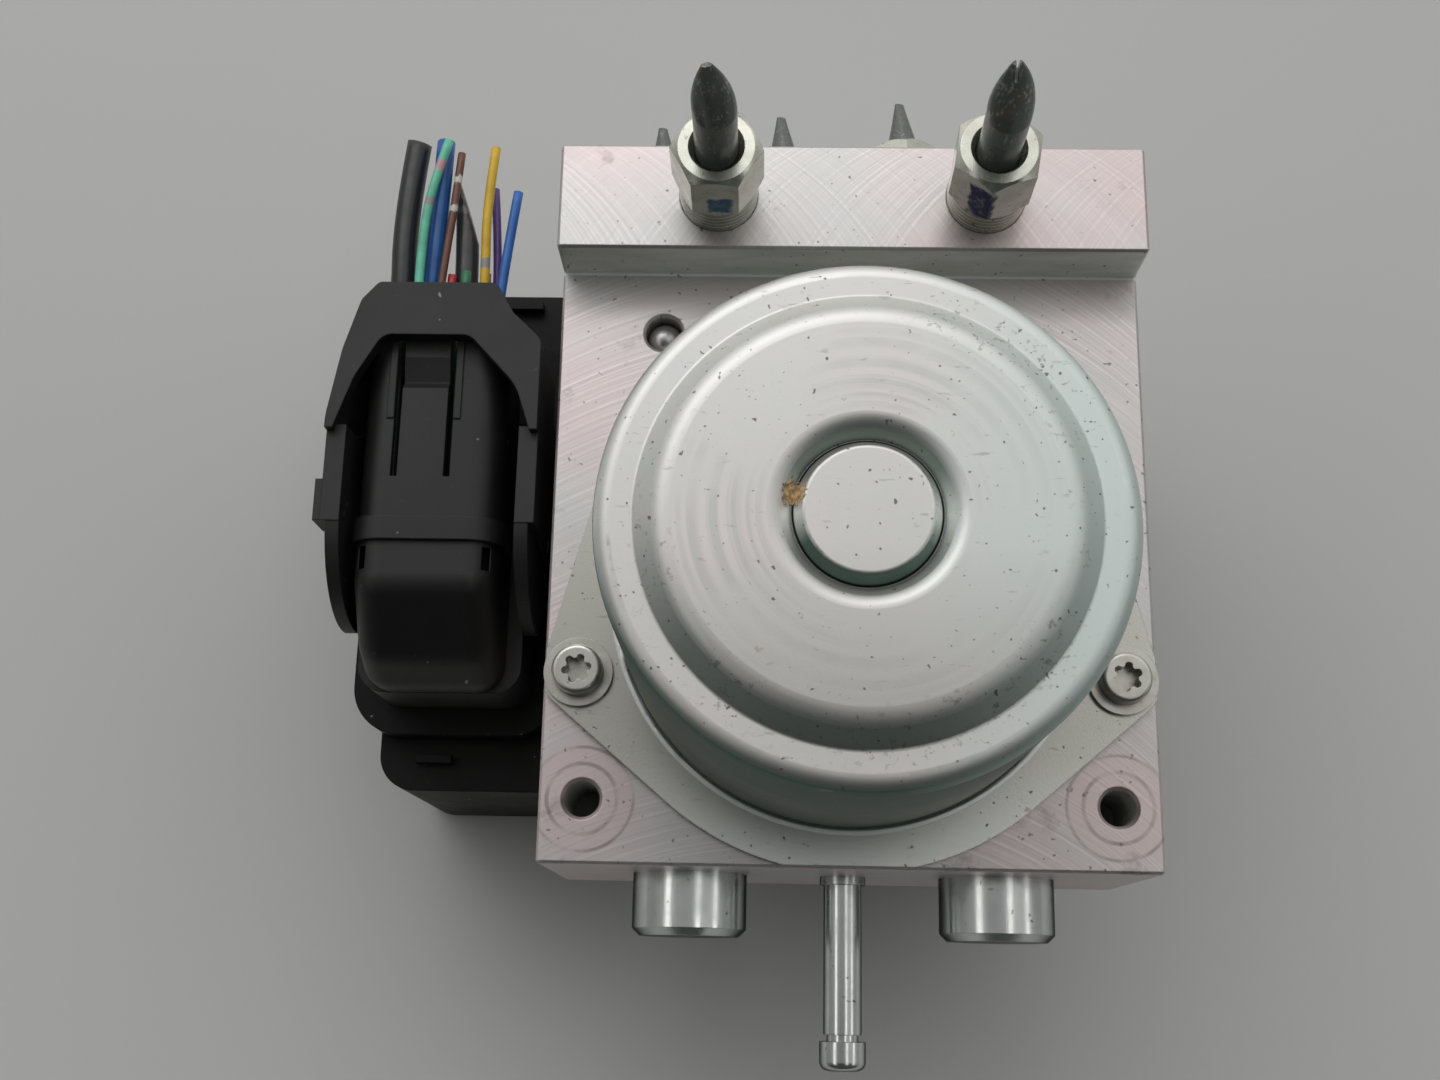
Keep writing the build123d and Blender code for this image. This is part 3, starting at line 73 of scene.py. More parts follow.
def add_area_light(name, place, size, power):
    """A rectangle of light at the place, turned towards the origin."""
    data = bpy.data.lights.new(name, "AREA")
    data.shape = "RECTANGLE"
    data.size, data.size_y = size
    data.energy = power
    light = bpy.data.objects.new(name, data)
    light.location = place
    light.rotation_euler = (-Vector(place)).to_track_quat("-Z", "Y").to_euler()
    bpy.context.collection.objects.link(light)


def add_world():
    """A soft pale studio: dark low behind the camera, dimmer to both sides, with long strips above."""
    world = bpy.data.worlds.new("studio")
    bpy.context.scene.world = world
    world.use_nodes = True
    studio = Graph(world.node_tree)
    way = studio.add("ShaderNodeTexCoord").outputs["Generated"]
    dark_side = (-0.06, -0.90, 0.43)
    towards_dark = studio.add("ShaderNodeVectorMath", {0: way, 1: dark_side}, operation="DOT_PRODUCT")
    level = studio.ramp(
        towards_dark.outputs["Value"],
        (0.04, (0.90, 0.905, 0.90)),
        (0.16, 0.72),
        (0.27, 0.46),
        (0.37, 0.31),
        (0.47, 0.12),
        (0.62, (0.02, 0.026, 0.024)),
    )
    axes = studio.axes(way)
    to_side = studio.math("ABSOLUTE", axes["X"])
    level = studio.mix(studio.ramp(to_side, (0.55, 0.0), (0.97, 0.8)), level, (0.06, 0.062, 0.06))
    slant = studio.math("DIVIDE", axes["X"], studio.math("MAXIMUM", axes["Z"], 0.05))
    near_middle = studio.ramp(studio.math("ABSOLUTE", axes["Y"]), (0.25, 1.0), (0.6, 0.0))
    for place, half in ((-0.90, 0.14), (0.36, 0.05), (1.50, 0.18)):
        strip = studio.math("MULTIPLY", studio.band(slant, place, half, 0.08), near_middle)
        level = studio.mix(strip, level, (1.25, 1.24, 1.20))
    studio.feed(world.node_tree.nodes["Background"].inputs["Color"], level)


# ---- materials ----------------------------------------------------------------------------------
class Graph:
    """A node tree being built. Each method adds a node and gives back the socket it makes."""

    def __init__(self, tree):
        self.tree = tree

    def add(self, kind, values=None, **settings):
        node = self.tree.nodes.new(kind)
        for name, value in settings.items():
            setattr(node, name, value)
        for socket, value in (values or {}).items():
            self.feed(node.inputs[socket], value)
        return node

    def feed(self, socket, value):
        if isinstance(value, bpy.types.NodeSocket):
            self.tree.links.new(value, socket)
        else:
            socket.default_value = value

    def math(self, operation, *values):
        return self.add("ShaderNodeMath", dict(enumerate(values)), operation=operation).outputs[0]

    def axes(self, vector):
        return self.add("ShaderNodeSeparateXYZ", {0: vector}).outputs

    def ramp(self, factor, *stops):
        node = self.add("ShaderNodeValToRGB", {0: factor})
        elements = node.color_ramp.elements
        while len(elements) < len(stops):
            elements.new(1.0)
        for element, (position, value) in zip(elements, stops):
            element.position = position
            element.color = (*value, 1) if isinstance(value, tuple) else (value, value, value, 1)
        return node.outputs[0]

    def mix(self, factor, first, second):
        first, second = [(*c, 1) if isinstance(c, tuple) else c for c in (first, second)]
        return self.add("ShaderNodeMix", {0: factor, 6: first, 7: second}, data_type="RGBA").outputs[2]

    def band(self, value, centre, half, soft):
        """1 where value lies within half of centre, falling to 0 over soft."""
        away = self.math("ABSOLUTE", self.math("SUBTRACT", value, centre))
        values = {0: away, 1: half, 2: half + soft, 3: 1.0, 4: 0.0}
        return self.add("ShaderNodeMapRange", values).outputs[0]


class Shade(Graph):
    """A node material being built around one shader."""

    def __init__(self, name, colour, roughness, metallic=0.0):
        self.material = bpy.data.materials.new(name)
        self.material.use_nodes = True
        super().__init__(self.material.node_tree)
        self.shader = self.tree.nodes["Principled BSDF"]
        coordinates = self.add("ShaderNodeTexCoord").outputs
        self.place = coordinates["Object"]
        self.x, self.y, self.z = self.axes(self.place)
        normal = self.axes(coordinates["Normal"])
        self.upward = normal["Z"]
        self.rearward = normal["Y"]
        self.set("Base Color", (*colour, 1))
        self.set("Roughness", roughness)
        self.set("Metallic", metallic)

    def set(self, name, value):
        self.feed(self.shader.inputs[name], value)

    def stretched(self, x, y, z):
        return self.add("ShaderNodeMapping", {"Vector": self.place, "Scale": (x, y, z)}).outputs[0]

    def noise(self, scale, detail=3.0, roughness=0.55, where=None):
        values = {"Vector": where or self.place, "Scale": scale, "Detail": detail, "Roughness": roughness}
        return self.add("ShaderNodeTexNoise", values).outputs[0]

    def line_noise(self, value, scale, detail=2.0):
        """Noise that changes only with one value, for turned and milled lines."""
        values = {"W": value, "Scale": scale, "Detail": detail}
        return self.add("ShaderNodeTexNoise", values, noise_dimensions="1D").outputs[0]

    def spots(self, scale, low, high, strength=1.0, detail=2.0):
        """Scattered spots: 0 over most of the surface, strength in the noise's peaks."""
        return self.ramp(self.noise(scale, detail, 0.65), (low, 0.0), (high, strength))

    def radius(self, x=0.0, y=0.0):
        """Distance from an upright axis through (x, y)."""
        dx = self.math("SUBTRACT", self.x, x)
        dy = self.math("SUBTRACT", self.y, y)
        squares = self.math("ADD", self.math("MULTIPLY", dx, dx), self.math("MULTIPLY", dy, dy))
        return self.math("SQRT", squares)

    def wavering(self, value, scale, reach):
        """The value, moved to and fro by noise within reach, for ragged edges."""
        shift = self.math("MULTIPLY", self.math("SUBTRACT", self.noise(scale, 3.0), 0.5), 2 * reach)
        return self.math("ADD", value, shift)

    def rounded(self, radius):
        """Normals that turn softly over the edges."""
        return self.add("ShaderNodeBevel", {"Radius": radius}, samples=4).outputs[0]

    def relief(self, height, depth, edge=0.2):
        """Bump over softly turned edges, in millimetres."""
        soft = self.rounded(edge * MM)
        values = {"Height": height, "Distance": depth * MM, "Strength": 1.0, "Normal": soft}
        self.set("Normal", self.add("ShaderNodeBump", values).outputs[0])


def cutter_lines(shade, along, across, sweep, centre, direction):
    """The value that is constant along each arc that a wide face cutter leaves on its way."""
    offset = shade.math("SUBTRACT", across, centre)
    inside = shade.math("SUBTRACT", sweep * sweep, shade.math("MULTIPLY", offset, offset))
    reach = shade.math("SQRT", shade.math("MAXIMUM", inside, 0.0))
    return shade.math("SUBTRACT" if direction > 0 else "ADD", along, reach)


def milled_aluminium():
    """Billet with cutter arcs that come and go, spot-faced holes with threads, and grime; the threads
    and the step's wall get painted light and shade.
    """
    shade = Shade("milled_aluminium", (0.66, 0.62, 0.62), 0.42, 0.86)
    on_ledge = shade.math("GREATER_THAN", shade.z, LEDGE_Z)
    # one pass over the main face, and both edges of the cutter on the ledge
    face_arcs = cutter_lines(shade, shade.y, shade.x, 75 * MM, -8 * MM, 1)
    ledge_first = cutter_lines(shade, shade.x, shade.y, 48 * MM, 28 * MM, 1)
    ledge_second = cutter_lines(shade, shade.x, shade.y, 48 * MM, 28 * MM, -1)
    face_lines = shade.line_noise(face_arcs, 1700, 4.0)
    first_lines = shade.line_noise(ledge_first, 1500, 4.0)
    second_lines = shade.line_noise(ledge_second, 1500, 4.0)
    fading = shade.ramp(shade.noise(75, 3.0), (0.35, 0.15), (0.65, 0.75))
    ledge_lines = shade.mix(fading, first_lines, second_lines)
    lines = shade.mix(on_ledge, face_lines, ledge_lines)
    side_lines = shade.noise(1.0, 3.0, where=shade.stretched(300, 300, 5000))
    lines = shade.mix(shade.ramp(shade.upward, (0.6, 0.0), (0.8, 1.0)), side_lines, lines)
    # broad sheen bands, and a pink tint that comes and goes
    broad = shade.line_noise(face_arcs, 160, 2.0)
    tint = shade.ramp(shade.noise(40, 2.0), (0.35, 0.0), (0.65, 1.0))
    metal = shade.mix(tint, (0.66, 0.65, 0.64), (0.74, 0.62, 0.62))
    metal = shade.mix(shade.math("MULTIPLY", broad, 0.4), metal, (0.52, 0.47, 0.46))
    strength = shade.math("MULTIPLY", shade.ramp(lines, (0.47, 0.0), (0.68, 1.0)), fading)
    metal = shade.mix(shade.math("MULTIPLY", strength, 0.55), metal, (0.95, 0.91, 0.90))
    # spot faces round the two corner holes, and their threads, drawn with painted highlights
    # on the crests and painted shade in the roots
    thread = shade.math("SINE", shade.math("MULTIPLY", shade.z, 2 * math.pi / THREAD_PITCH))
    lit_crests = shade.ramp(thread, (0.2, 0.0), (0.9, 1.0))
    thread_light_and_shade = shade.mix(lit_crests, (0.30, 0.30, 0.28), (0.92, 0.92, 0.88))
    inside_hole = shade.math("LESS_THAN", shade.z, FACE_Z - 0.7 * MM)
    worn_ring = shade.ramp(shade.noise(150, 3.0), (0.38, 0.15), (0.62, 0.75))
    bores = 0.0
    for x, y in CORNER_HOLES:
        ring = shade.radius(x, y)
        seat = shade.math("MULTIPLY", shade.band(ring, 5.0 * MM, 2.3 * MM, 0.4 * MM), 0.7)
        metal = shade.mix(seat, metal, (0.72, 0.60, 0.59))
        for reach, half in ((5.1 * MM, 0.16 * MM), (7.5 * MM, 0.10 * MM)):
            scribed = shade.math("MULTIPLY", shade.band(ring, reach, half, 0.25 * MM), worn_ring)
            metal = shade.mix(scribed, metal, (0.34, 0.28, 0.27))
        bore = shade.math("MULTIPLY", shade.band(ring, 0.0, BORE_RADIUS, 0.1 * MM), inside_hole)
        metal = shade.mix(bore, metal, thread_light_and_shade)
        bores = shade.math("MAXIMUM", bores, bore)
    # the step's wall is duller and painted lighter, as painted light, with a painted highlight line
    # where it meets the face
    steep = shade.ramp(shade.upward, (0.3, 1.0), (0.5, 0.0))
    raised = shade.math("GREATER_THAN", shade.z, FACE_Z + 0.6 * MM)
    at_step = shade.band(shade.y, STEP_Y, 0.8 * MM, 0.3 * MM)
    lightened_step_wall = shade.math("MULTIPLY", shade.math("MULTIPLY", steep, raised), at_step)
    smears = shade.ramp(shade.noise(1.0, 3.0, where=shade.stretched(70, 70, 260)), (0.35, 0.0), (0.65, 1.0))
    metal = shade.mix(lightened_step_wall, metal, shade.mix(smears, (0.80, 0.82, 0.76), (1.00, 1.00, 0.96)))
    at_corner = shade.band(shade.y, STEP_Y, 0.22 * MM, 0.2 * MM)
    fillet_highlight = shade.math("MULTIPLY", at_corner, shade.band(shade.z, FACE_Z, 0.4 * MM, 0.2 * MM))
    metal = shade.mix(fillet_highlight, metal, (0.92, 0.95, 0.94))
    specks = shade.spots(900, 0.71, 0.76, 0.7, 1.0)
    dirt = shade.math("MAXIMUM", specks, shade.spots(110, 0.62, 0.80, 0.8, 5.0))
    shade.set("Base Color", shade.mix(dirt, metal, (0.17, 0.15, 0.14)))
    # less metallic, and so brighter in the shade: the step's wall, its foot, the bores
    on_face = shade.math("SUBTRACT", 1.0, raised)
    beneath = shade.math("MULTIPLY", shade.band(shade.y, STEP_Y - 3 * MM, 2 * MM, 3 * MM), on_face)
    matt = shade.math("MAXIMUM", shade.math("MULTIPLY", lightened_step_wall, 0.75), fillet_highlight)
    matt = shade.math("MAXIMUM", matt, shade.math("MULTIPLY", beneath, 0.5))
    matt = shade.math("MAXIMUM", matt, bores)
    shade.set("Metallic", shade.math("MULTIPLY", shade.math("SUBTRACT", 1.0, matt), 0.86))
    shade.set("Roughness", shade.ramp(lines, (0.2, 0.50), (0.8, 0.34)))
    shade.relief(lines, 0.018, 0.25)
    return shade.material


def zinc_sheet():
    """Passivated zinc on drawn steel: satin, broken drawing rings, teal slopes with painted light and
    shade, rust in the crease.
    """
    shade = Shade("zinc_sheet", (0.70, 0.70, 0.68), 0.38, 0.88)
    ring = shade.radius()
    rings = shade.line_noise(ring, 760, 2.0)
    broken = shade.ramp(shade.noise(60, 3.0), (0.44, 0.0), (0.60, 1.0))
    marks = shade.math("MULTIPLY", shade.band(ring, 17 * MM, 5 * MM, 4 * MM), broken)
    fine = shade.noise(2600, 2.0)
    slope = shade.math("ABSOLUTE", shade.upward)
    sloping = shade.ramp(slope, (0.55, 1.0), (0.97, 0.0))
    cloud = shade.noise(60, 4.0, 0.6)
    metal = shade.mix(shade.ramp(cloud, (0.3, 0.0), (0.7, 1.0)), (0.70, 0.71, 0.69), (0.77, 0.72, 0.70))
    dull = shade.math("MULTIPLY", shade.ramp(rings, (0.38, 0.55), (0.60, 0.0)), marks)
    metal = shade.mix(dull, metal, (0.54, 0.54, 0.52))
    # slopes are painted brighter, as a painted highlight. Those that face forwards get painted shade over
    # the zinc's teal cast, those that face back are painted darker than the ones that face sideways, as
    # painted shade, and the walls get painted shade, darkest under the rim, with smears
    facing_front = shade.math("MULTIPLY", shade.rearward, -1.0)
    front_slope_shade = shade.math("MULTIPLY", shade.ramp(facing_front, (0.02, 0.0), (0.42, 1.0)), sloping)
    back_slope_shade = shade.math("MULTIPLY", shade.ramp(shade.rearward, (0.05, 0.0), (0.45, 1.0)), sloping)
    metal = shade.mix(sloping, metal, (0.90, 0.92, 0.89))
    metal = shade.mix(back_slope_shade, metal, (0.50, 0.49, 0.46))
    metal = shade.mix(front_slope_shade, metal, (0.13, 0.20, 0.17))
    streaks = shade.noise(1.0, 4.0, where=shade.stretched(35, 35, 90))
    wall = shade.ramp(slope, (0.12, 1.0), (0.35, 0.0))
    smeared = shade.ramp(streaks, (0.38, 0.0), (0.64, 1.0))
    painted_wall_shade = shade.mix(smeared, (0.17, 0.21, 0.19), (0.27, 0.27, 0.23))
    under_rim_shade = shade.ramp(shade.z, (92 * MM, 0.0), (118 * MM, 1.0))
    painted_wall_shade = shade.mix(under_rim_shade, painted_wall_shade, (0.11, 0.15, 0.14))
    metal = shade.mix(wall, metal, painted_wall_shade)
    # the top is painted darker towards the front, as painted shade, and cooler towards +X, and the
    # flange is painted brighter at the front than at its sides, as painted light
    frontward = shade.math("MULTIPLY", shade.y, -1.0)
    on_top = shade.math("GREATER_THAN", shade.z, CAN_TOP_Z)
    low = shade.math("LESS_THAN", shade.z, FLANGE_Z)
    level = shade.ramp(slope, (0.8, 0.0), (0.97, 1.0))
    front_top_shade = shade.math("MULTIPLY", shade.ramp(frontward, (4 * MM, 0.0), (26 * MM, 0.8)), on_top)
    front_top_shade = shade.math("MULTIPLY", front_top_shade, shade.band(ring, 0.0, 25 * MM, 2 * MM))
    cool = shade.math("MULTIPLY", shade.ramp(shade.x, (4 * MM, 0.0), (28 * MM, 0.8)), on_top)
    metal = shade.mix(cool, metal, (0.66, 0.75, 0.73))
    metal = shade.mix(shade.math("MULTIPLY", front_top_shade, level), metal, (0.50, 0.49, 0.47))
    flange_front_light = shade.ramp(frontward, (22 * MM, 0.0), (42 * MM, 1.0))
    flange_light_and_shade = shade.mix(flange_front_light, (0.56, 0.55, 0.50), (0.92, 0.95, 0.91))
    metal = shade.mix(shade.math("MULTIPLY", low, level), metal, flange_light_and_shade)
    # scuffs, dark specks, and rust that gathers along the crease round the top
    scuffs = shade.ramp(shade.noise(1.0, 4.0, where=shade.stretched(260, 900, 300)), (0.66, 0.0), (0.74, 0.5))
    in_crease = shade.band(ring, CREASE_RADIUS, 2.5 * MM, 2 * MM)
    creased = shade.math("MULTIPLY", in_crease, shade.spots(900, 0.60, 0.68, 0.6))
    metal = shade.mix(scuffs, metal, (0.34, 0.32, 0.30))
    metal = shade.mix(shade.spots(1100, 0.71, 0.76, 0.8, 1.0), metal, (0.12, 0.10, 0.09))
    gathered = shade.math("MULTIPLY", creased, shade.ramp(cloud, (0.42, 0.0), (0.6, 1.0)))
    metal = shade.mix(gathered, metal, (0.24, 0.19, 0.15))
    metal = shade.mix(shade.spots(330, 0.69, 0.76, 0.55, 3.0), metal, (0.36, 0.22, 0.12))
    # a crumb of tan dirt caught beside the button
    crumb_ring = shade.wavering(shade.radius(*CRUMB), 1300, 1.6 * MM)
    crumb = shade.math("MULTIPLY", shade.band(crumb_ring, 0.0, 1.35 * MM, 0.3 * MM), on_top)
    grain_tone = shade.ramp(shade.noise(1500, 2.0), (0.35, 0.0), (0.65, 1.0))
    grains = shade.mix(grain_tone, (0.80, 0.60, 0.34), (0.34, 0.20, 0.08))
    # painted shade along the dark bottom of the groove round the button, and a painted highlight
    # on the bead at the can's foot
    crevice_shade = shade.math("MULTIPLY", shade.band(ring, BUTTON_GROOVE_RADIUS, 0.10 * MM, 0.12 * MM), on_top)
    bead_highlight = shade.math("MULTIPLY", shade.band(ring, FOOT_RADIUS, 0.2 * MM, 0.25 * MM), low)
    metal = shade.mix(crevice_shade, metal, (0.015, 0.02, 0.018))
    metal = shade.mix(bead_highlight, metal, (0.95, 0.97, 0.95))
    shade.set("Base Color", shade.mix(crumb, metal, grains))
    matt = shade.math("MAXIMUM", crumb, shade.math("MULTIPLY", bead_highlight, 0.6))
    metallic = shade.mix(shade.math("MAXIMUM", front_slope_shade, wall), (0.84, 0.84, 0.84), (1.0, 1.0, 1.0))
    shade.set("Metallic", shade.math("MULTIPLY", shade.math("SUBTRACT", 1.0, matt), metallic))
    satin = shade.ramp(shade.math("MULTIPLY", cloud, 0.7), (0.2, 0.44), (0.9, 0.58))
    frosted = shade.mix(sloping, satin, (0.50, 0.50, 0.50))
    rough = shade.mix(low, frosted, (0.26, 0.26, 0.26))
    shade.set("Roughness", shade.mix(crumb, rough, (0.9, 0.9, 0.9)))
    grain = shade.math("MULTIPLY", fine, shade.ramp(slope, (0.7, 1.6), (1.0, 0.5)))
    height = shade.math("ADD", shade.math("MULTIPLY", dull, 0.5), grain)
    shade.relief(shade.math("ADD", height, shade.math("MULTIPLY", crumb, 18.0)), 0.016)
    return shade.material


def plated_steel(name, colour, dark, roughness, scratch=0.3, side=0.0, edge=1.0, marks=(), threads=None):
    """Plated steel: streaks, small scratches, grime, paint marks, painted shade on upright sides
    and, below a height, thread lines with painted shade in their roots.

    side is how much darker upright sides are painted, as painted shade, and edge the tint of its
    glancing reflections. marks are paint: a place, half width and half height in mm, and a colour.
    threads are a height and a pitch in mm.
    """
    shade = Shade(name, colour, roughness, 0.92)
    shade.set("Specular Tint", (edge, edge, edge, 1.0))
    cloud = shade.noise(180, 4.0, 0.6)
    scratches = shade.noise(1.0, 3.0, where=shade.stretched(4200, 500, 900))
    metal = shade.mix(shade.ramp(cloud, (0.35, 0.0), (0.75, 0.8)), colour, dark)
    pale = tuple(0.6 + 0.4 * c for c in colour)
    metal = shade.mix(shade.ramp(scratches, (0.62, 0.0), (0.8, scratch)), metal, pale)
    # painted shade: upright sides are darkened by side
    painted_side_shade = shade.ramp(shade.upward, (0.25, side), (0.75, 0.0))
    metal = shade.mix(painted_side_shade, metal, tuple(0.3 * c for c in colour))
    metal = shade.mix(shade.spots(700, 0.66, 0.76, 0.8), metal, (0.10, 0.09, 0.08))
    height = scratches
    if threads:
        low, pitch = threads
        wave = shade.math("SINE", shade.math("MULTIPLY", shade.z, 2 * math.pi / (pitch * MM)))
        collar = shade.math("LESS_THAN", shade.z, low * MM)
        shaded_thread_roots = shade.math("MULTIPLY", shade.ramp(wave, (0.0, 1.0), (0.6, 0.0)), collar)
        # painted shade in the thread roots, which the bump also sinks
        metal = shade.mix(shade.math("MULTIPLY", shaded_thread_roots, 0.6), metal, (0.20, 0.19, 0.16))
        height = shade.math("SUBTRACT", height, shade.math("MULTIPLY", shaded_thread_roots, 12.0))
    for (x, y, z), half_width, half_height, paint in marks:
        along = shade.band(shade.wavering(shade.x, 500, 0.9 * MM), x * MM, half_width * MM, 0.5 * MM)
        upright = shade.band(shade.wavering(shade.z, 500, 1.2 * MM), z * MM, half_height * MM, 0.6 * MM)
        near = shade.math("LESS_THAN", shade.y, y * MM)
        mask = shade.math("MULTIPLY", shade.math("MULTIPLY", along, upright), near)
        worn = shade.math("MULTIPLY", mask, shade.ramp(shade.noise(900, 3.0), (0.3, 0.75), (0.5, 1.0)))
        metal = shade.mix(worn, metal, paint)
    shade.set("Base Color", metal)
    shade.set("Roughness", shade.ramp(cloud, (0.2, roughness - 0.06), (0.8, roughness + 0.12)))
    shade.relief(height, 0.006, 0.15)
    return shade.material


def coated_pipe():
    """Dark green coating, scuffed bare in streaks, with brown rust towards the torn end."""
    shade = Shade("coated_pipe", (0.05, 0.06, 0.055), 0.32)
    flakes = shade.noise(420, 5.0, 0.7)
    streaks = shade.noise(1.0, 4.0, where=shade.stretched(2600, 2600, 240))
    over_wear = shade.math("MULTIPLY", shade.math("SUBTRACT", shade.z, PIPE_WEAR_Z), 40.0)
    torn = shade.ramp(over_wear, (0.1, 0.0), (0.5, 0.05))
    wear = shade.math("ADD", shade.math("MULTIPLY", flakes, 0.6), shade.math("MULTIPLY", streaks, 0.45))
    bare = shade.ramp(shade.math("ADD", wear, torn), (0.60, 0.0), (0.68, 0.9))
    rust = shade.ramp(shade.math("ADD", shade.noise(260, 3.0, 0.6), torn), (0.56, 0.0), (0.72, 0.8))
    coat = shade.mix(rust, (0.105, 0.120, 0.110), (0.20, 0.14, 0.10))
    shade.set("Base Color", shade.mix(bare, coat, (0.45, 0.44, 0.40)))
    shade.set("Metallic", shade.math("MULTIPLY", bare, 0.85))
    shade.set("Roughness", shade.ramp(flakes, (0.3, 0.22), (0.7, 0.45)))
    shade.set("Coat Weight", 0.3)
    shade.relief(shade.math("ADD", flakes, bare), 0.03)
    return shade.material


def moulded_plastic(name, colour, roughness, grain=0.006, dust=0.25, gloss=0.5):
    """Glass-filled nylon: fine grain, dust in patches, paler rubbed spots and a few bright nicks."""
    shade = Shade(name, colour, roughness)
    shade.set("Specular IOR Level", gloss)
    fine = shade.noise(5200, 2.0)
    patch = shade.noise(70, 4.0, 0.65)
    speckle = shade.math("MULTIPLY", patch, shade.ramp(fine, (0.2, 0.7), (0.8, 1.0)))
    dusty = shade.ramp(speckle, (0.45, 0.0), (0.75, dust))
    tone = shade.mix(dusty, colour, tuple(0.05 + 1.6 * c for c in colour))
    tone = shade.mix(shade.spots(640, 0.69, 0.77, 0.5, 3.0), tone, tuple(0.06 + 1.4 * c for c in colour))
    shade.set("Base Color", shade.mix(shade.spots(480, 0.77, 0.79, 0.9, 1.0), tone, (0.30, 0.30, 0.29)))
    shade.set("Roughness", shade.ramp(patch, (0.25, roughness - 0.08), (0.75, roughness + 0.12)))
    shade.relief(fine, grain, 0.3)
    return shade.material


def cable_skin(name, colour, bands=()):
    """Cable insulation with handling marks, and bands of paint or grime at places along Y."""
    shade = Shade(name, colour, 0.38)
    patch = shade.noise(260, 4.0, 0.6)
    along = shade.wavering(shade.y, 900, 1.1 * MM)
    tone = shade.mix(shade.ramp(patch, (0.4, 0.0), (0.8, 0.7)), colour, tuple(0.55 * c for c in colour))
    for centre, half, paint in bands:
        tone = shade.mix(shade.band(along, centre * MM, half * MM, 0.3 * MM), tone, paint)
    shade.set("Base Color", tone)
    shade.set("Roughness", shade.ramp(patch, (0.3, 0.30), (0.7, 0.48)))
    shade.set("Coat Weight", 0.15)
    shade.relief(patch, 0.03, 0.05)
    return shade.material


def soft_rubber(name, colour):
    shade = Shade(name, colour, 0.6)
    grain = shade.noise(3000, 3.0)
    pale = tuple(0.02 + 1.3 * c for c in colour)
    shade.set("Base Color", shade.mix(shade.ramp(grain, (0.4, 0.0), (0.8, 1.0)), colour, pale))
    shade.relief(grain, 0.02)
    return shade.material


def wound_copper():
    shade = Shade("wound_copper", (0.60, 0.24, 0.10), 0.3, 1.0)
    turns = shade.line_noise(shade.radius(), 1400, 2.0)
    shade.set("Base Color", shade.mix(turns, (0.36, 0.12, 0.05), (0.75, 0.36, 0.17)))
    shade.set("Coat Weight", 0.5)
    shade.relief(turns, 0.15, 0.05)
    return shade.material


def solder_board():
    shade = Shade("solder_board", (0.02, 0.16, 0.07), 0.35)
    bricks = {"Vector": shade.place, "Scale": 160.0}
    tracks = shade.add("ShaderNodeTexBrick", bricks, offset=0.5).outputs["Fac"]
    shade.set("Base Color", shade.mix(tracks, (0.02, 0.15, 0.07), (0.03, 0.24, 0.10)))
    shade.set("Coat Weight", 0.4)
    shade.relief(tracks, 0.03, 0.05)
    return shade.material


def dress(material, *names):
    for name in names:
        for slot in nodes[name].material_slots:
            slot.material = material


# ---- wires --------------------------------------------------------------------------------------
def smooth_line(route, steps=8):
    """The points of the NURBS spline that has the route's points, in mm, as its control points."""
    data = bpy.data.curves.new("line", "CURVE")
    data.dimensions = "3D"
    data.resolution_u = steps
    spline = data.splines.new("NURBS")
    spline.points.add(len(route) - 1)
    for point, place in zip(spline.points, route):
        point.co = (*(Vector(place) * MM), 1)
    spline.order_u = 3
    spline.use_endpoint_u = True
    carrier = bpy.data.objects.new("line", data)
    bpy.context.collection.objects.link(carrier)
    mesh = bpy.data.meshes.new_from_object(carrier)
    points = [vertex.co.copy() for vertex in mesh.vertices]
    bpy.data.objects.remove(carrier)
    bpy.data.meshes.remove(mesh)
    return points


def link_mesh(name, mesh_builder, materials):
    mesh = bpy.data.meshes.new(name)
    mesh_builder.to_mesh(mesh)
    mesh_builder.free()
    for material in materials:
        mesh.materials.append(material)
    piece = bpy.data.objects.new(name, mesh)
    bpy.context.collection.objects.link(piece)
    return piece


def tube(name, points, radius, cut, materials, sides=24):
    """A round solid along the points, its end cut off square to the direction cut.

    A second material, where there is one, goes on a core sunk into the cut end.
    """
    builder = bmesh.new()
    side_way = Vector((1, 0, 0))
    last = len(points) - 1
    rings = []
    for index, point in enumerate(points):
        ahead = (points[min(index + 1, last)] - points[max(index - 1, 0)]).normalized()
        side_way = (side_way - ahead * side_way.dot(ahead)).normalized()
        up = side_way.cross(ahead)
        angles = [2 * math.pi * step / sides for step in range(sides)]
        round_it = [point + (side_way * math.cos(a) + up * math.sin(a)) * radius for a in angles]
        rings.append([builder.verts.new(place) for place in round_it])
    for first, second in zip(rings, rings[1:]):
        for step in range(sides):
            follow = (step + 1) % sides
            face = builder.faces.new((first[step], first[follow], second[follow], second[step]))
            face.smooth = True
    builder.faces.new(list(reversed(rings[0])))
    builder.faces.new(rings[-1])
    # the cut's plane touches the rim at the wire's very end, at the side that stays longest
    normal = Vector(cut or ahead).normalized()
    leaning = normal - ahead * normal.dot(ahead)
    rim = points[-1] - ahead * 0.02 * MM
    if leaning.length > 0.01:
        rim -= leaning.normalized() * radius * 0.98
    everything = builder.verts[:] + builder.edges[:] + builder.faces[:]
    cut_made = bmesh.ops.bisect_plane(
        builder, geom=everything, plane_co=rim, plane_no=normal, clear_outer=True
    )
    edge_loop = [item for item in cut_made["geom_cut"] if isinstance(item, bmesh.types.BMEdge)]
    end_face = bmesh.ops.contextual_create(builder, geom=edge_loop)["faces"][0]
    if len(materials) > 1:
        bmesh.ops.inset_individual(
            builder, faces=[end_face], thickness=0.36 * radius, depth=-0.1 * radius
        )
        end_face.material_index = 1
    builder.normal_update()
    return link_mesh(name, builder, materials)


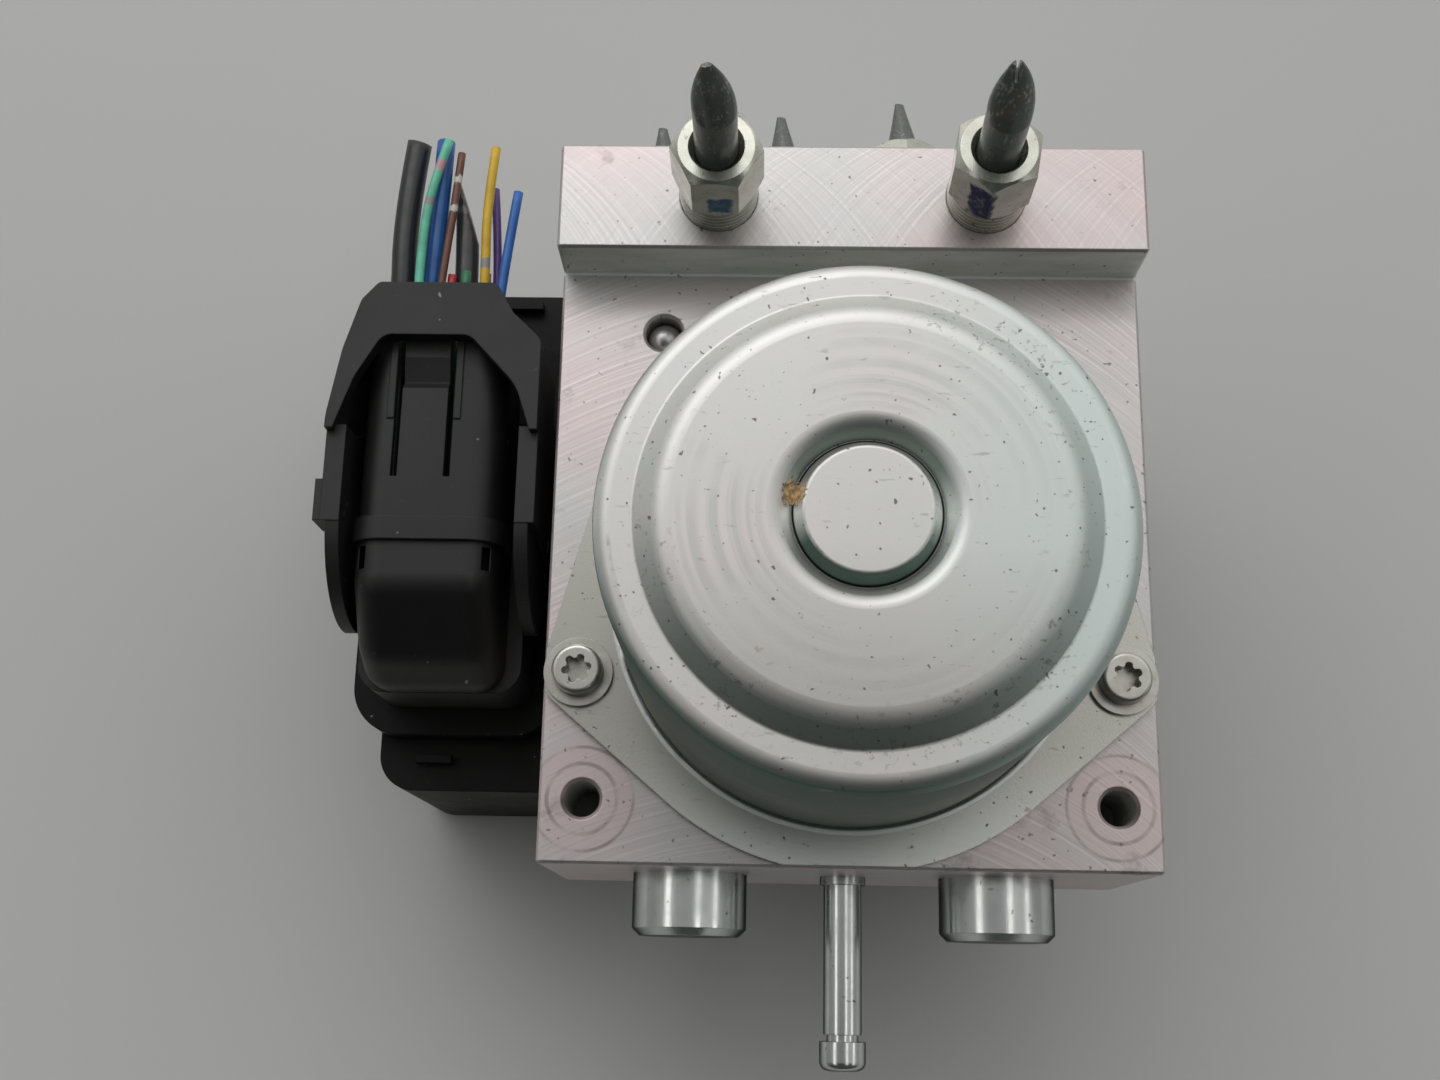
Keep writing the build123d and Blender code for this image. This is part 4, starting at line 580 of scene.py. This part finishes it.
def add_wire(node, radius, route, skin, copper, cut=None, bare=True):
    """A cut wire in place of its node. bare shows the copper, and cut slants the end."""
    points = smooth_line(route)
    piece = tube(node + "_skin", points, radius * MM, cut, [skin, copper] if bare else [skin])
    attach(piece, "plug")
    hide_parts(node)


def add_wires(copper):
    grey, white, pink = (0.30, 0.30, 0.30), (0.62, 0.60, 0.56), (0.55, 0.33, 0.36)
    black = cable_skin("cable_black", (0.012, 0.012, 0.013))
    worn_black = cable_skin("cable_black_worn", (0.035, 0.033, 0.035), [(66, 0.5, (0.12, 0.10, 0.10))])
    mint = cable_skin("cable_mint", (0.14, 0.62, 0.42), [(66.5, 0.7, grey), (73, 0.8, pink)])
    blue = cable_skin("cable_blue", (0.012, 0.12, 0.42))
    brown = cable_skin("cable_brown", (0.16, 0.055, 0.032), [(65.5, 0.5, white), (70.8, 0.5, white)])
    red = cable_skin("cable_red", (0.45, 0.02, 0.02))
    green = cable_skin("cable_green", (0.02, 0.20, 0.09))
    yellow = cable_skin("cable_yellow", (0.80, 0.50, 0.02), [(56, 0.5, grey)])
    rose = cable_skin("cable_pink", (0.55, 0.25, 0.28))
    violet = cable_skin("cable_violet", (0.10, 0.04, 0.26))
    light_blue = cable_skin("cable_light_blue", (0.02, 0.16, 0.55))
    add_wire(
        "wire_black_power",
        2.05,
        [
            (-72.0, 16.0, 72.4),
            (-72.0, 32.0, 72.4),
            (-72.1, 50.0, 72.7),
            (-72.9, 65.8, 72.0),
            (-71.6, 80.5, 71.0),
        ],
        black,
        copper,
        cut=(0.25, 0.9, 0.3),
    )
    add_wire(
        "wire_mint",
        0.75,
        [
            (-68.6, 16.0, 75.8),
            (-68.6, 30.0, 75.8),
            (-68.9, 44.0, 75.9),
            (-69.1, 57.0, 75.7),
            (-68.4, 68.5, 75.6),
            (-65.8, 77.8, 75.3),
        ],
        mint,
        copper,
    )
    add_wire(
        "wire_blue_motor",
        1.5,
        [
            (-67.9, 16.0, 72.8),
            (-67.9, 32.0, 72.8),
            (-67.7, 48.0, 73.0),
            (-67.1, 64.0, 73.0),
            (-66.9, 79.0, 72.4),
        ],
        blue,
        copper,
    )
    add_wire(
        "wire_brown",
        0.65,
        [
            (-66.3, 16.0, 75.7),
            (-66.3, 30.0, 75.7),
            (-66.0, 44.0, 75.6),
            (-65.2, 56.0, 75.3),
            (-64.2, 66.5, 75.1),
            (-63.7, 75.8, 74.6),
        ],
        brown,
        copper,
    )
    add_wire(
        "wire_black_ground",
        1.9,
        [
            (-61.9, 16.0, 72.4),
            (-61.9, 32.0, 72.4),
            (-61.8, 48.0, 72.6),
            (-62.2, 62.0, 72.4),
            (-63.2, 74.5, 71.6),
        ],
        worn_black,
        copper,
        cut=(0.94, 0.32, 0.06),
        bare=False,
    )
    add_wire(
        "wire_red",
        0.7,
        [(-64.8, 16.0, 72.6), (-64.8, 29.0, 72.6), (-64.8, 42.0, 73.4), (-63.9, 54.0, 74.6)],
        red,
        copper,
    )
    add_wire(
        "wire_green",
        0.75,
        [(-61.4, 16.0, 75.5), (-61.4, 29.0, 75.5), (-61.7, 42.0, 75.7), (-61.4, 54.0, 75.9)],
        green,
        copper,
    )
    add_wire(
        "wire_yellow",
        0.78,
        [
            (-58.9, 16.0, 74.8),
            (-58.9, 30.0, 74.8),
            (-58.6, 44.0, 74.6),
            (-58.6, 55.0, 74.6),
            (-59.0, 66.0, 74.7),
            (-58.1, 77.0, 74.4),
        ],
        yellow,
        copper,
    )
    add_wire(
        "wire_pink",
        0.5,
        [(-58.5, 16.0, 72.6), (-58.5, 29.0, 72.6), (-58.4, 42.0, 72.4), (-58.4, 55.0, 72.9)],
        rose,
        copper,
    )
    add_wire(
        "wire_violet",
        0.7,
        [
            (-57.0, 16.0, 72.4),
            (-57.0, 30.0, 72.4),
            (-56.9, 45.0, 72.2),
            (-57.0, 59.0, 72.2),
            (-58.3, 70.8, 71.6),
        ],
        violet,
        copper,
    )
    add_wire(
        "wire_light_blue",
        0.8,
        [
            (-56.3, 16.0, 74.5),
            (-56.3, 30.0, 74.5),
            (-56.4, 45.0, 74.3),
            (-55.4, 57.2, 74.2),
            (-54.0, 69.0, 74.2),
        ],
        light_blue,
        copper,
    )


# ---- the scene ----------------------------------------------------------------------------------
def add_floor():
    builder = bmesh.new()
    bmesh.ops.create_grid(builder, x_segments=1, y_segments=1, size=1.2)
    bmesh.ops.translate(builder, verts=builder.verts, vec=(0, 0, -0.0002))
    shade = Shade("pale_floor", (0.62, 0.62, 0.61), 0.7)
    floor = link_mesh("floor", builder, [shade.material])


add_camera()
add_world()
bpy.context.scene.view_settings.view_transform = "Standard"
add_area_light("key", (-0.25, 0.70, 0.80), (0.9, 0.5), 2.0)
add_floor()

copper = plated_steel("copper_strands", (0.70, 0.36, 0.18), (0.40, 0.18, 0.08), 0.35)
steel = plated_steel("bright_steel", (0.58, 0.58, 0.57), (0.42, 0.42, 0.41), 0.30)
dress(milled_aluminium(), "hydraulic_block")
dress(zinc_sheet(), "motor_can")
screw_zinc = plated_steel("screw_zinc", (0.62, 0.61, 0.56), (0.40, 0.38, 0.33), 0.30)
dress(screw_zinc, "motor_screws", "controller_screws")
nut_finish = ((0.74, 0.75, 0.67), (0.46, 0.46, 0.38), 0.22)
# paint on the two nuts that stand on the ledge
nut_marks = [
    ((-19.9, 57.0, 98.4), 1.4, 1.9, (0.07, 0.16, 0.26)),
    ((18.4, 57.0, 99.4), 1.5, 4.0, (0.010, 0.018, 0.09)),
]
front_nut_zinc = plated_steel("front_nut_zinc", *nut_finish, marks=nut_marks, threads=(95.2, 1.0))
dress(front_nut_zinc, "front_pipe_nuts")
dress(plated_steel("rear_nut_zinc", *nut_finish), "rear_pipe_nuts")
# painted shade on the upright sides of the caps and the pin, through side
polished_zinc = plated_steel(
    "polished_zinc", (0.86, 0.89, 0.87), (0.68, 0.72, 0.70), 0.16, 0.5, side=0.85, edge=0.1
)
dress(polished_zinc, "accumulator_cap_left", "accumulator_cap_right", "mounting_pin")
dress(coated_pipe(), "front_pipe_left", "front_pipe_right", "rear_pipe_stubs")
dress(
    steel,
    "port_ball",
    "rotor_shaft",
    "upper_bearing",
    "lower_bearing",
    "eccentric_ring",
    "pump_plunger_left",
    "pump_plunger_right",
    "plunger_spring_left",
    "plunger_spring_right",
    "accumulator_spring_left",
    "accumulator_spring_right",
    "pump_plugs",
    "inlet_valves",
    "outlet_valves",
    "brush_springs",
    "accumulator_piston_left",
    "accumulator_piston_right",
)
dress(plated_steel("laminations", (0.26, 0.26, 0.27), (0.18, 0.18, 0.18), 0.45), "rotor_core")
dress(wound_copper(), "rotor_winding")
dress(copper, "commutator", "signal_pins", "power_blades")
dress(moulded_plastic("pressed_carbon", (0.04, 0.04, 0.042), 0.55), "magnets", "brushes")
dress(moulded_plastic("inner_nylon", (0.16, 0.16, 0.15), 0.5), "brush_plate", "motor_terminal", "valve_coils")
dress(solder_board(), "circuit_board")
dress(soft_rubber("black_rubber", (0.02, 0.02, 0.02)), "piston_seal_left", "piston_seal_right")
dress(soft_rubber("silicone_seal", (0.36, 0.10, 0.04)), "plug_seal", "housing_gasket")
housing_nylon = moulded_plastic("housing_nylon", (0.005, 0.0055, 0.005), 0.5, dust=0.05, gloss=0.22)
dress(housing_nylon, "controller_housing", "controller_lid")
dress(moulded_plastic("plug_nylon", (0.008, 0.008, 0.0078), 0.46, dust=0.15), "plug_body", "plug_cover")
dress(moulded_plastic("lever_nylon", (0.016, 0.016, 0.016), 0.50, dust=0.2), "lock_lever")
add_wires(copper)
